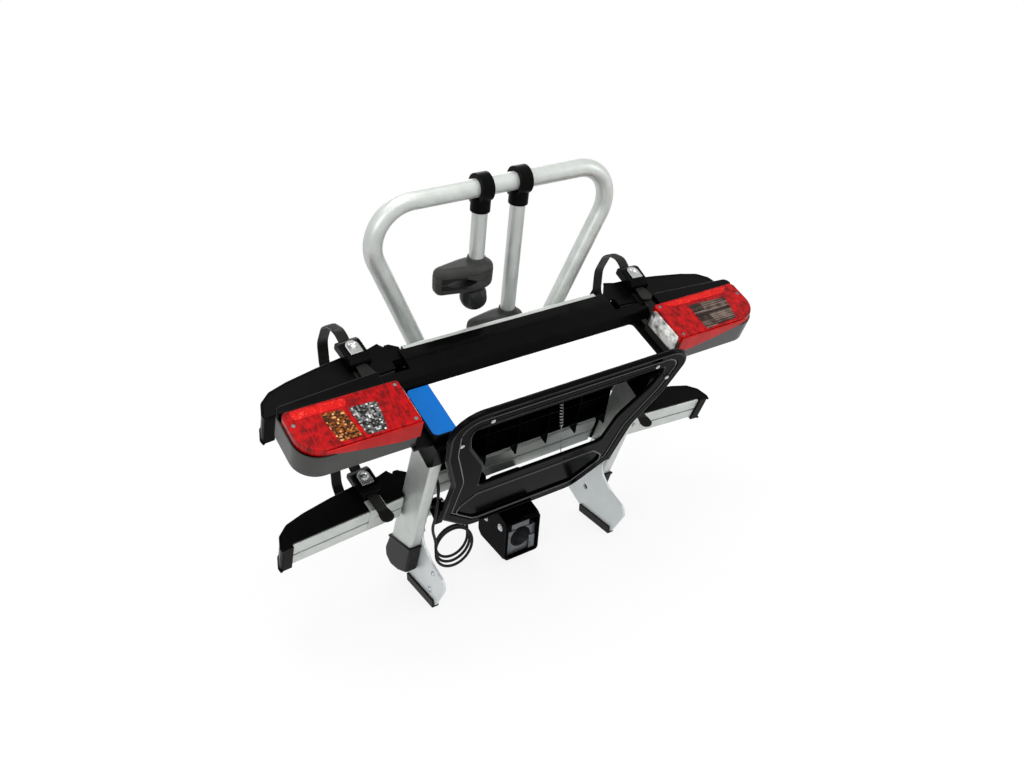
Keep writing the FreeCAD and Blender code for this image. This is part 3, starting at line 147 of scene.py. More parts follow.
# %% World, lamps and floor
world = bpy.data.worlds.new("studio")
bpy.context.scene.world = world
world.use_nodes = True
tree = world.node_tree
soft_fill = tree.nodes["Background"]
soft_fill.inputs["Color"].default_value = hex_colour("#F2F4F6")
soft_fill.inputs["Strength"].default_value = 0.7
seen = add_node(tree, "ShaderNodeBackground", inputs={"Color": (1, 1, 1, 1), "Strength": 1.0})


def looks_white(tree):
    """1 for the rays that see the background: straight, mirrored or through glass."""
    path = add_node(tree, "ShaderNodeLightPath")
    mirrored = add_node(tree, "ShaderNodeMath", {"operation": "MAXIMUM"},
                        links={0: path.outputs["Is Camera Ray"], 1: path.outputs["Is Glossy Ray"]})
    through = add_node(tree, "ShaderNodeMath", {"operation": "MAXIMUM"},
                       links={0: mirrored.outputs[0], 1: path.outputs["Is Transmission Ray"]})
    return through.outputs[0]


which = add_node(tree, "ShaderNodeMixShader",
                 links={0: looks_white(tree), 1: soft_fill.outputs[0], 2: seen.outputs[0]})
tree.links.new(which.outputs[0], tree.nodes["World Output"].inputs["Surface"])


def soft_box(name, place, aim, width, height, watts):
    data = bpy.data.lights.new(name, "AREA")
    data.shape = "RECTANGLE"
    data.size, data.size_y, data.energy = width, height, watts
    lamp = bpy.data.objects.new(name, data)
    lamp.location = place
    lamp.rotation_euler = (Vector(aim) - Vector(place)).to_track_quat("-Z", "Y").to_euler()
    bpy.context.scene.collection.objects.link(lamp)
    return lamp


soft_box("box_above", (-0.3, -0.2, 2.6), (0, 0, 0.3), 1.6, 1.2, 28)
soft_box("box_left", (-2.2, -1.6, 1.7), (0, 0, 0.4), 1.0, 1.0, 16)
soft_box("strip_right", (2.1, -1.2, 1.2), (0, 0, 0.4), 0.16, 1.6, 9)
soft_box("strip_above", (-0.2, -1.7, 2.1), (0, 0, 0.3), 1.9, 0.14, 8)
soft_box("box_behind", (0.6, 2.2, 1.6), (0, 0, 0.5), 1.6, 0.8, 12)

floor_mesh = bpy.data.meshes.new("floor")
floor_mesh.from_pydata([(-30, -30, 0), (30, -30, 0), (30, 30, 0), (-30, 30, 0)], [], [(0, 1, 2, 3)])
floor = bpy.data.objects.new("floor", floor_mesh)
bpy.context.scene.collection.objects.link(floor)
paper, tree, principled = shader("seamless_paper", Base_Color=hex_colour("#F4F4F4"), Roughness=0.85)
glow = add_node(tree, "ShaderNodeEmission", inputs={"Color": (1, 1, 1, 1), "Strength": 1.0})
spot = add_node(tree, "ShaderNodeTexCoord")
far = add_node(tree, "ShaderNodeVectorMath", {"operation": "LENGTH"}, links={0: spot.outputs["Object"]})
share = add_node(tree, "ShaderNodeMapRange", {"interpolation_type": "SMOOTHSTEP"},
                 {"From Min": 0.5, "From Max": 1.5, "To Min": 0.84, "To Max": 1.0}, {"Value": far.outputs["Value"]})
lifted = add_node(tree, "ShaderNodeMath", {"operation": "MULTIPLY"},
                  links={0: share.outputs[0], 1: looks_white(tree)})
both = add_node(tree, "ShaderNodeMixShader",
                links={0: lifted.outputs[0], 1: principled.outputs[0], 2: glow.outputs[0]})
tree.links.new(both.outputs[0], tree.nodes["Material Output"].inputs["Surface"])
floor_mesh.materials.append(paper)
bpy.context.scene.view_settings.view_transform = "Standard"

# %% [markdown]
# ## Finishes
# Moulded and machined edges are never razor sharp, and a thin bright line along each edge is what makes a
# black part readable. The Bevel node bends the shading normal near an edge by the real edge radius, so
# solids whose mesh can't be changed get that line too.


# %% Edge and grain helpers
def soft_edge(tree, radius_mm, grain=None, strength=0.1, distance_mm=0.1):
    """A normal that rounds edges by a radius, with an optional bump laid over it."""
    edge = add_node(tree, "ShaderNodeBevel", {"samples": 4}, {"Radius": radius_mm / 1000})
    if grain is None:
        return edge.outputs[0]
    bump = add_node(tree, "ShaderNodeBump", inputs={"Strength": strength, "Distance": distance_mm / 1000},
                    links={"Height": grain, "Normal": edge.outputs[0]})
    return bump.outputs[0]


def noise(tree, size_mm, detail=2.0, stretch=(1, 1, 1)):
    """Noise whose grains are about size_mm across, measured on the object."""
    where = add_node(tree, "ShaderNodeTexCoord")
    scaled = add_node(tree, "ShaderNodeMapping", inputs={"Scale": stretch}, links={"Vector": where.outputs["Object"]})
    grains = add_node(tree, "ShaderNodeTexNoise", inputs={"Scale": 1000 / size_mm, "Detail": detail},
                      links={"Vector": scaled.outputs[0]})
    return grains.outputs["Fac"]


def ramp(tree, factor, stops):
    """A colour ramp through (position, sRGB hex) stops."""
    band = add_node(tree, "ShaderNodeValToRGB", links={"Fac": factor})
    points = band.color_ramp.elements
    while len(points) < len(stops):
        points.new(0.5)
    for point, (position, colour) in zip(points, stops):
        point.position = position
        point.color = hex_colour(colour)
    return band.outputs["Color"]


def grey_ramp(tree, factor, low, high):
    """Turns a 0 to 1 factor into a range, for roughness."""
    span = add_node(tree, "ShaderNodeMapRange", inputs={"To Min": low, "To Max": high}, links={"Value": factor})
    return span.outputs[0]


# %% [markdown]
# Anodised aluminium extrusion: etched to a satin before the clear anodic film grows, so it is a soft,
# slightly cool grey with a wide highlight. The rear tray arms take the same finish in near black.


# %% Anodised aluminium
def anodised(name, dark, light, rough, **sockets):
    """Cloudy colour 26 mm across, and a 0.9 mm etch that breaks up the highlight."""
    material, tree, principled = shader(name, **sockets)
    tree.links.new(ramp(tree, noise(tree, 26, 3), [(0.3, dark), (0.7, light)]), principled.inputs["Base Color"])
    etched = noise(tree, 0.9, 2)
    tree.links.new(grey_ramp(tree, etched, rough, rough + 0.12), principled.inputs["Roughness"])
    tree.links.new(soft_edge(tree, 0.9, etched, 0.06, 0.05), principled.inputs["Normal"])
    return material


satin_aluminium = anodised("satin_anodised_aluminium", "#B9BDB9", "#C6C9C5", 0.34, Metallic=0.6)
black_aluminium = anodised("near_black_aluminium_finish", "#0E0E0E", "#161616", 0.36, Metallic=0.3,
                           Specular_IOR_Level=0.2)

# %% [markdown]
# The foot plates are powder-coated sheet: a light grey skin with a very fine orange peel.

# %% Powder coat
powder_coat, tree, principled = shader("light_grey_powder_coat", Metallic=0.3, Roughness=0.42)
tree.links.new(ramp(tree, noise(tree, 40, 3), [(0.3, "#CDD2D2"), (0.7, "#D8DCDB")]), principled.inputs["Base Color"])
tree.links.new(soft_edge(tree, 0.8, noise(tree, 1.6, 1), 0.12, 0.08), principled.inputs["Normal"])

# %% [markdown]
# Most of the black pieces are glass-filled nylon and polypropylene, moulded against an etched tool. That
# leaves a fine leather-like grain, duller than a polished part, and never quite black where light grazes it.


# %% Moulded black plastic
def moulded_plastic(name, dark, light, rough, grain_mm, depth, shine):
    """Grain_mm and depth are the tool's etch; shine is the specular level."""
    material, tree, principled = shader(name, IOR=1.5, Specular_IOR_Level=shine)
    cloud = noise(tree, 30, 4)
    tree.links.new(ramp(tree, cloud, [(0.3, dark), (0.72, light)]), principled.inputs["Base Color"])
    tree.links.new(grey_ramp(tree, cloud, rough - 0.04, rough + 0.06), principled.inputs["Roughness"])
    tree.links.new(soft_edge(tree, 1.0, noise(tree, grain_mm, 2), depth, 0.12), principled.inputs["Normal"])
    return material


grained_black = moulded_plastic("grained_black_nylon", "#040404", "#080808", 0.34, 1.1, 0.16, 0.04)
satin_black = moulded_plastic("satin_black_polypropylene", "#030303", "#060606", 0.2, 2.2, 0.07, 0.045)
tub_grey = moulded_plastic("dark_grey_abs_tub", "#2B2B29", "#353533", 0.32, 1.6, 0.10, 0.3)
boot_rubber = moulded_plastic("moulded_rubber", "#0B0B0B", "#151514", 0.5, 1.4, 0.22, 0.18)
claw_rubber = moulded_plastic("soft_touch_rubber", "#2A2B29", "#3A3B39", 0.5, 1.2, 0.2, 0.2)
knob_nylon = moulded_plastic("moulded_knob_nylon", "#111212", "#1B1C1C", 0.38, 1.4, 0.14, 0.2)
strap_nylon = moulded_plastic("strap_nylon", "#11110F", "#1B1B18", 0.34, 1.8, 0.1, 0.14)

# %% [markdown]
# The pedal and the coupling box are polished ABS: nearly black, with a slight waviness from the way thick
# moulded walls shrink as they cool. The beads on their rims are polished further, and the thin lines most of
# all. The shine stays far below a real lacquer's, since here every black face mirrors a white room.


# %% Polished black ABS
def polished_plastic(name, shine, rough, wave):
    """Shine is the specular level; wave is the strength of an 18 mm ripple."""
    material, tree, principled = shader(name, IOR=1.5, Specular_IOR_Level=shine)
    principled.inputs["Base Color"].default_value = hex_colour("#030303")
    tree.links.new(grey_ramp(tree, noise(tree, 50, 2), rough, rough + 0.08), principled.inputs["Roughness"])
    tree.links.new(soft_edge(tree, 1.4, noise(tree, 18, 1), wave, 0.4), principled.inputs["Normal"])
    return material


polished_black = polished_plastic("polished_black_abs", 0.012, 0.08, 0.08)
polished_rim = polished_plastic("polished_rim_abs", 0.04, 0.05, 0.05)
polished_line = polished_plastic("polished_line_abs", 0.6, 0.05, 0.05)

# %% [markdown]
# Bright steel parts are zinc plated: bluish, fairly sharp, slightly uneven. The ball seat is cast iron under
# a grey coating, rougher and darker.


# %% Steels
def plated(name, dark, light, rough, grain_mm, depth):
    material, tree, principled = shader(name, Metallic=1.0)
    cloud = noise(tree, 9, 3)
    tree.links.new(ramp(tree, cloud, [(0.3, dark), (0.7, light)]), principled.inputs["Base Color"])
    tree.links.new(grey_ramp(tree, cloud, rough, rough + 0.12), principled.inputs["Roughness"])
    tree.links.new(soft_edge(tree, 0.4, noise(tree, grain_mm, 2), depth, 0.05), principled.inputs["Normal"])
    return material


zinc_steel = plated("zinc_plated_steel", "#A9ADB2", "#C9CCD0", 0.22, 2.0, 0.08)
pad_chrome = plated("satin_chromed_pad", "#AEB0AF", "#B6B8B6", 0.2, 4.0, 0.03)
coated_iron = plated("coated_cast_iron", "#5E6164", "#777A7D", 0.45, 1.2, 0.4)
chromed_abs = plated("chromed_reflector", "#D8D9DA", "#E4E5E6", 0.08, 4.0, 0.05)

# %% [markdown]
# The lenses are clear acrylic in red, amber and water white, with rows of small optics moulded inside that
# break up the reflector. Behind a bright reflector they read as coloured from edge to edge, so the colour is
# set in the plastic, and the reflector's light is painted into it as well. The optics are a grid laid square to
# the lens face: each cell has its own pillow bump and its own painted tone, dark to bright, a painted reflection
# of the reflector behind it. Red and amber are the plastics' own colours; the grey and white of the water white
# cells and of the side window are painted reflection. A thin clear coat gives the outer face its sharp
# reflection. The white plate is aluminium sheet under a glossy film; its band is plain blue.


# %% Lens plastics and plate film
def lens_plastic(name, tones, cell_mm, depth, painted_glint_share=0.35, metallic=0.0):
    """Moulded acrylic; tones go from dark to bright as painted reflection of the reflector behind, cell_mm is the
    optic's width and height on the face.
    """
    material, tree, principled = shader(name, Roughness=0.14, IOR=1.49, Specular_IOR_Level=0.08,
                                        Metallic=metallic, Coat_Weight=0.06, Coat_Roughness=0.04)
    where = add_node(tree, "ShaderNodeTexCoord")
    upright = add_node(tree, "ShaderNodeVectorRotate", {"rotation_type": "X_AXIS"}, {"Angle": -LEAN},
                       {"Vector": where.outputs["Object"]})
    grid = add_node(tree, "ShaderNodeMapping", inputs={"Scale": (1000 / cell_mm[0], 1000 / cell_mm[1], 20)},
                    links={"Vector": upright.outputs[0]})
    cells = add_node(tree, "ShaderNodeTexVoronoi", {"feature": "F1", "distance": "CHEBYCHEV"},
                     {"Scale": 1.0, "Randomness": 0.0}, {"Vector": grid.outputs[0]})
    # Painted reflection: each cell's tone, dark to bright, stands for the reflector's light behind the lens.
    tone = add_node(tree, "ShaderNodeSeparateColor", links={0: cells.outputs["Color"]})
    cloud = add_node(tree, "ShaderNodeTexNoise", inputs={"Scale": 70.0, "Detail": 2.0},
                     links={"Vector": upright.outputs[0]})
    mixed = add_node(tree, "ShaderNodeMix", {"data_type": "FLOAT"}, {"Factor": painted_glint_share},
                     {"A": cloud.outputs["Fac"], "B": tone.outputs[0]})
    tree.links.new(ramp(tree, mixed.outputs[0], tones), principled.inputs["Base Color"])
    bump = add_node(tree, "ShaderNodeBump", inputs={"Strength": depth, "Distance": 0.0012},
                    links={"Height": cells.outputs["Distance"]})
    tree.links.new(bump.outputs[0], principled.inputs["Normal"])
    return material


red_lens = lens_plastic("red_acrylic_lens", [(0.36, "#6E0204"), (0.52, "#9E0408"), (0.68, "#B4060A")], (2.4, 12), 0.3,
                        0.25)
skirt_lens = lens_plastic("plain_red_acrylic", [(0.4, "#A60A0A"), (0.6, "#B41210")], (20, 20), 0.05)
amber_lens = lens_plastic("amber_acrylic_lens", [(0.35, "#2A1004"), (0.55, "#5E2C0A"), (0.7, "#93500F"),
                                                 (0.82, "#E8B070")], (3.4, 3.4), 0.5, 0.6)
# Painted reflection: the water white lens and the side window take all their grey and white from the reflector behind.
clear_lens = lens_plastic("clear_lens_painted_reflector", [(0.33, "#121211"), (0.5, "#454543"), (0.68, "#747472"),
                                                 (0.84, "#E4E4E4")], (3.4, 3.4), 0.5, 0.6)
reflex_lens = lens_plastic("red_reflex_lens", [(0.4, "#B80E0C"), (0.6, "#CC1612"), (0.78, "#E03A2C")], (3, 3), 0.3,
                           0.3)
smoke_lens = lens_plastic("smoked_pane", [(0.3, "#1C1210"), (0.5, "#33261F"), (0.78, "#75665E")], (60, 2.6), 0.4,
                          0.5)
bright_window = lens_plastic("side_window_painted_reflector", [(0.35, "#4A4A48"), (0.5, "#BDBDBA"), (0.62, "#F2F2F0")],
                             (22, 30), 0.15, 0.3, 0.3)

plate_skin, tree, principled = shader("white_plate_film", Roughness=0.22, IOR=1.5, Specular_IOR_Level=0.15)
where = add_node(tree, "ShaderNodeTexCoord")
split = add_node(tree, "ShaderNodeSeparateXYZ", links={0: where.outputs["Object"]})
BAND_EDGE = -0.214
past_band = add_node(tree, "ShaderNodeMath", {"operation": "GREATER_THAN"}, {1: BAND_EDGE}, {0: split.outputs["X"]})
tree.links.new(ramp(tree, past_band.outputs[0], [(0.0, "#0062B2"), (1.0, "#EFEFEC")]), principled.inputs["Base Color"])
tree.links.new(soft_edge(tree, 0.6, noise(tree, 60, 1), 0.03, 0.2), principled.inputs["Normal"])

# %% Give every solid its finish
FINISH = {
    black_aluminium: ["tray_arm_rear_*"],
    satin_aluminium: ["rail_left", "rail_right", "front_crossbar", "rear_crossbar", "hoop", "short_arm_tube",
                      "long_arm_tube", "tray_arm_*"],
    powder_coat: ["foot_plates"],
    boot_rubber: ["foot_rubbers", "rail_caps", "lead_*"],
    grained_black: ["tray_hinges", "centre_bridge", "hoop_base", "hoop_yoke", "*_arm_collar", "plate_holder",
                    "tray_*", "buckle_*", "strap_*"],
    claw_rubber: ["*_claw", "*_claw_jaw"],
    knob_nylon: ["*_claw_knob"],
    satin_black: ["coupling_lever", "lead_fittings", "light_board", "board_brackets"],
    polished_black: ["pedal", "coupling_housing"],
    red_lens: ["lamp_lenses"],
    plate_skin: ["number_plate"],
    tub_grey: ["lamp_housings"],
    chromed_abs: ["lamp_inserts"],
    zinc_steel: ["fasteners", "pedal_spring", "button_*"],
    coated_iron: ["ball_cup", "ball_jaw"],
}
finished = {}
for material, patterns in FINISH.items():
    for pattern in patterns:
        for node in fnmatch.filter(frame["nodes"], pattern):
            if node in finished:
                continue
            finished[node] = material
            slots = frame["nodes"][node].data.materials
            slots.clear()
            slots.append(material)
print("finished", len(finished), "of", len(frame["nodes"]), "left:", set(frame["nodes"]) - set(finished))

# %% [markdown]
# ## Mesh tools
# Most pieces of the rack are moulded between two tool halves, so an outline with rounded corners pulled
# through a length, with a real edge radius, is how they are drawn and also how they are made here. Layouts
# are in millimetres in a piece's own axes, and one matrix at the end puts the piece in the room. Loops of
# code find the arcs; nobody has to type points along a curve.


# %% Outlines
def rounded(points, step=9, closed=True):
    """Points along an outline whose corners may carry a radius as their third number."""
    line = []
    count = len(points)
    for i, point in enumerate(points):
        here = Vector(point[:2])
        radius = point[2] if len(point) > 2 else 0
        if not radius or (not closed and i in (0, count - 1)):
            line.append(here)
            continue
        before = (Vector(points[i - 1][:2]) - here).normalized()
        after = (Vector(points[(i + 1) % count][:2]) - here).normalized()
        turn = math.pi - before.angle(after)
        middle = here + (before + after).normalized() * (radius / math.cos(turn / 2))
        first = (here + before * radius * math.tan(turn / 2) - middle).normalized()
        last = (here + after * radius * math.tan(turn / 2) - middle).normalized()
        steps = max(2, round(math.degrees(turn) / step))
        for k in range(steps + 1):
            line.append(middle + first.slerp(last, k / steps).normalized() * radius)
    return line


def mirrored(half):
    """A closed outline from its right half, listed from the bottom up."""
    return list(half) + [(-p[0],) + tuple(p[1:]) for p in reversed(half)]


def inset(line, depth):
    """A closed line moved inwards by a depth."""
    area = sum(a.x * b.y - b.x * a.y for a, b in zip(line, line[1:] + line[:1]))
    way = math.copysign(depth, area)
    moved_line = []
    for i, here in enumerate(line):
        one = (here - line[i - 1]).normalized()
        two = (line[(i + 1) % len(line)] - here).normalized()
        across = Vector((-one.y - two.y, one.x + two.x)).normalized()
        moved_line.append(here + across * (way / max(0.4, across.dot(Vector((-one.y, one.x))))))
    return moved_line


# %% Solids
LAYOUT = {
    "x": lambda p, q, h: (h, p, q),
    "y": lambda p, q, h: (p, h, q),
    "z": lambda p, q, h: (p, q, h),
}


def as_object(name, shape):
    bmesh.ops.recalc_face_normals(shape, faces=shape.faces)
    data = bpy.data.meshes.new(name)
    shape.to_mesh(data)
    shape.free()
    piece = bpy.data.objects.new(name, data)
    bpy.context.scene.collection.objects.link(piece)
    return piece


def prism(name, along, outlines, start, length, step=9):
    """A closed solid from an outline and any holes in it, pulled through a length."""
    shape = bmesh.new()
    for outline in outlines:
        line = rounded(outline, step) if isinstance(outline[0], tuple) else outline
        verts = [shape.verts.new(LAYOUT[along](p[0], p[1], start)) for p in line]
        for i, vert in enumerate(verts):
            shape.edges.new((verts[i - 1], vert))
    if len(outlines) == 1:
        caps = [shape.faces.new(verts)]
    else:
        filled = bmesh.ops.triangle_fill(shape, use_beauty=True, edges=shape.edges[:])
        caps = [item for item in filled["geom"] if isinstance(item, bmesh.types.BMFace)]
    pulled = bmesh.ops.extrude_face_region(shape, geom=caps)
    far = [item for item in pulled["geom"] if isinstance(item, bmesh.types.BMVert)]
    bmesh.ops.translate(shape, verts=far, vec=Vector(LAYOUT[along](0, 0, length)))
    return as_object(name, shape)


def loft(name, rings):
    """A closed solid through rings of equal count."""
    shape = bmesh.new()
    rows = [[shape.verts.new(point) for point in ring] for ring in rings]
    for low, high in zip(rows, rows[1:]):
        for i in range(len(low)):
            shape.faces.new((low[i - 1], low[i], high[i], high[i - 1]))
    shape.faces.new(rows[0])
    shape.faces.new(rows[-1][::-1])
    return as_object(name, shape)


def turned_piece(name, profile, axis, centre, count=40):
    """A solid turned on a lathe, from (along, radius) points."""
    rings = []
    for along, radius in profile:
        ring = []
        for i in range(count):
            angle = 2 * math.pi * i / count
            p, q = radius * math.cos(angle), radius * math.sin(angle)
            ring.append(Vector(LAYOUT[axis](p, q, along)) + Vector(centre))
        rings.append(ring)
    return loft(name, rings)


def bead(name, points, radius, closed=False, sides=3):
    """A round bead along a line of points."""
    curve = bpy.data.curves.new(name, "CURVE")
    curve.dimensions = "3D"
    curve.bevel_depth = radius
    curve.bevel_resolution = sides
    curve.use_fill_caps = not closed
    spline = curve.splines.new("POLY")
    spline.points.add(len(points) - 1)
    for target, point in zip(spline.points, points):
        target.co = (*point, 1)
    spline.use_cyclic_u = closed
    holder = bpy.data.objects.new(name, curve)
    bpy.context.scene.collection.objects.link(holder)
    return settle(holder)


def settle(piece):
    """Writes what a piece's modifiers or bevel make into a mesh of its own."""
    bpy.context.view_layer.update()
    graph = bpy.context.evaluated_depsgraph_get()
    result = bpy.data.meshes.new_from_object(piece.evaluated_get(graph))
    if piece.type == "CURVE":
        name, old = piece.name, piece
        piece.name = "old"
        fresh = bpy.data.objects.new(name, result)
        bpy.context.scene.collection.objects.link(fresh)
        bpy.data.objects.remove(old, do_unlink=True)
        return fresh
    piece.modifiers.clear()
    piece.data = result
    return piece


# %% Cuts, edges and fitting
def carve(piece, *tools):
    """Takes the tools' shapes out of a piece."""
    for tool in tools:
        step = piece.modifiers.new("carve", "BOOLEAN")
        step.operation = "DIFFERENCE"
        step.solver = "EXACT"
        step.object = tool
    settle(piece)
    for tool in tools:
        bpy.data.objects.remove(tool, do_unlink=True)
    return piece


def soften(piece, width, segments=3, angle=35):
    """Rounds every edge sharper than an angle, as a moulding tool's corners do."""
    step = piece.modifiers.new("soften", "BEVEL")
    step.width = width
    step.segments = segments
    step.limit_method = "ANGLE"
    step.angle_limit = math.radians(angle)
    return settle(piece)


def joined(name, *pieces):
    """One mesh from several, each keeping its own material."""
    shape = bmesh.new()
    materials = []
    for piece in pieces:
        first = len(shape.faces)
        shape.from_mesh(piece.data)
        shape.faces.ensure_lookup_table()
        own = [slot for slot in piece.data.materials]
        for slot in own:
            if slot not in materials:
                materials.append(slot)
        for face in shape.faces[first:]:
            face.material_index = materials.index(own[face.material_index]) if own else 0
        bpy.data.objects.remove(piece, do_unlink=True)
    whole = as_object(name, shape)
    for material in materials:
        whole.data.materials.append(material)
    return whole


def painted(piece, material):
    piece.data.materials.clear()
    piece.data.materials.append(material)
    return piece


def fit(piece, place, body, material=None, replaces=(), crease=40):
    """Puts a finished piece in the room, shades it and lets it ride on its body."""
    piece.data.transform(place)
    if place.determinant() < 0:
        piece.data.flip_normals()
    if material is not None:
        painted(piece, material)
    for face in piece.data.polygons:
        face.use_smooth = True
    piece.data.set_sharp_from_angle(angle=math.radians(crease))
    weighted = piece.modifiers.new("even_shading", "WEIGHTED_NORMAL")
    weighted.keep_sharp = True
    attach(piece, body)
    if replaces:
        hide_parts(*replaces)
    print(piece.name, len(piece.data.polygons), "faces")
    return piece


# %% [markdown]
# ## Boots and trays
# A rubber boot closes the cut front end of each rail. It is dipped rubber over a plug, so its corners are the
# roundest on the rack, with a lip where it meets the aluminium.

# %% Rail boots
RAIL_FRONT, RAIL_DEEP = 142, 70
FALL = RAIL_DEEP * math.tan(math.radians(35))
BOOT_LOW = RAIL_FRONT - FALL - 74
boot_side = [(-3, RAIL_FRONT), (RAIL_DEEP + 3, RAIL_FRONT - FALL - 2), (RAIL_DEEP + 9, BOOT_LOW + 21, 12),
             (RAIL_DEEP + 1, BOOT_LOW, 10), (47, BOOT_LOW - 4, 14), (20, BOOT_LOW + 13, 16),
             (-8, BOOT_LOW + 43, 12), (-5, RAIL_FRONT - 8, 6)]
lip_side = [(-4.5, RAIL_FRONT + 1), (RAIL_DEEP + 4.5, RAIL_FRONT - FALL - 1), (RAIL_DEEP + 4.5, RAIL_FRONT - FALL - 9),
            (-4.5, RAIL_FRONT - 7)]
boots = []
for side, sign in SIDES.items():
    start = 228.8 if sign > 0 else -256.5
    boots.append(soften(prism("boot", "x", [boot_side], start, 27.7), 5.5, 4))
    boots.append(soften(prism("lip", "x", [lip_side], start - 1.2 if sign < 0 else start, 28.9), 2, 3))
fit(joined("rail_boots", *boots), PLATFORM, "platform", boot_rubber, ["rail_caps"])

# %% [markdown]
# The four trays are one shape, mirrored. Each is a trough with a boat's profile whose sides reach down over
# the aluminium arm. A rounded bead runs along the top of both sides for stiffness, and the wheel rests on
# low ribs across the floor. The solid already has the right trough, so the bead and ribs are added to it.

# %% Tray beads and floor ribs
TRAY_TOP = -30
TRAY_END = 256
TRAY_HALF = 35
top_line = [(-12, TRAY_TOP - 10, 2), (20, 8, 2), (42, 3, 6), (98, 4, 60), (150, -1, 60), (TRAY_END - 46, -9, 40),
            (TRAY_END - 9, -18, 12), (TRAY_END + 12, -34, 8), (TRAY_END + 22, -57, 6), (TRAY_END + 21, -66)]


def tray_place(row, side):
    along, rise = ROWS[row]
    sign = SIDES[side]
    return PLATFORM @ moved(sign * 243, 112 + rise, along) @ turned(-sign * 4, "Z")


for row in ROWS:
    for side, sign in SIDES.items():
        label = row + "_" + side
        line = rounded(top_line, closed=False)[3:]
        parts = []
        for edge in (-1, 1):
            parts.append(bead("bead", [(sign * p.x, p.y - 1.2, edge * (TRAY_HALF - 1.4)) for p in line], 2.6))
        for i in range(9):
            a = 100 + 16 * i
            rib = [(sign * (a - 1.5), TRAY_TOP), (sign * (a + 1.5), TRAY_TOP), (sign * (a + 1), -23.5, 0.8),
                   (sign * (a - 1), -23.5, 0.8)]
            parts.append(prism("rib", "z", [rib], -31, 62))
        fit(joined("tray_trim_" + label, *parts), tray_place(row, side), "tray_" + label, satin_black)

# %% [markdown]
# ## Ratchet straps
# A strap is a nylon band with saw teeth on its outer face. From its thumb tail it runs through the buckle and
# arches over the wheel's place, and its free end hangs down behind the trough, as an open strap rests. The band
# is a loft: a cross section is carried along the path, and the middle of its outer face rises and drops once
# for every tooth.


# %% Strap path and teeth
def evenly(line, step):
    """Points along a line at an even step, with the direction at each."""
    lengths = [0.0]
    for one, two in zip(line, line[1:]):
        lengths.append(lengths[-1] + (two - one).length)
    count = max(2, round(lengths[-1] / step))
    spots = []
    place = 0
    for i in range(count + 1):
        target = lengths[-1] * i / count
        while place < len(lengths) - 2 and lengths[place + 1] < target:
            place += 1
        share = (target - lengths[place]) / max(1e-9, lengths[place + 1] - lengths[place])
        spots.append((target, line[place].lerp(line[place + 1], share),
                      (line[place + 1] - line[place]).normalized()))
    return spots


STRAP_AT = 79
TAILS = {"front": 104, "rear": 72}
PITCH = 3.6


def strap_path(tail):
    return [(-tail, 49), (-52, 48, 20), (16, 47, 30), (48, 57, 30), (88, 38, 34), (98, -20, 44), (82, -66, 30),
            (66, -78)]


def strap_band(name, tail, sign):
    """The toothed band; its tail swells into a rounded thumb paddle."""
    line = rounded(strap_path(tail), 5, closed=False)
    rings = []
    for travel, spot, way in evenly(line, PITCH / 3):
        tooth = (travel % PITCH) / PITCH
        rise = 0.9 * (1 - tooth) if travel > 26 else 0
        paddle = max(0.0, 1 - abs(travel - 12) / 16)
        half = 11 + 2.4 * math.sin(paddle * math.pi / 2)
        if travel < 9:
            half *= math.sqrt(max(0.06, 1 - ((9 - travel) / 9.6) ** 2))
        across = Vector((-way.y, way.x))
        lift = 0.6 if travel < 26 else 0
        section = [(-half, -1.3), (half, -1.3), (half, 0.6 + lift), (half - 2.6, 0.6 + lift),
                   (half - 2.7, 0.5 + rise + lift), (-half + 2.7, 0.5 + rise + lift), (-half + 2.6, 0.6 + lift),
                   (-half, 0.6 + lift)]
        rings.append([(sign * STRAP_AT + wide, spot.x + across.x * out, spot.y + across.y * out)
                      for wide, out in section])
    return loft(name, rings)


for row, tail in TAILS.items():
    for side, sign in SIDES.items():
        label = row + "_" + side
        fit(strap_band("strap_band_" + label, tail, sign), tray_place(row, side), "tray_" + label, strap_nylon,
            ["strap_" + label], crease=30)

# %% [markdown]
# The buckle is a two-part ratchet: a rounded black housing that the band runs through, and a bright arched
# release pad with a round thumb dish in it. The housing gets its slot and well by cutting, then all its edges are
# rounded at once, which is what a moulding tool does to it.

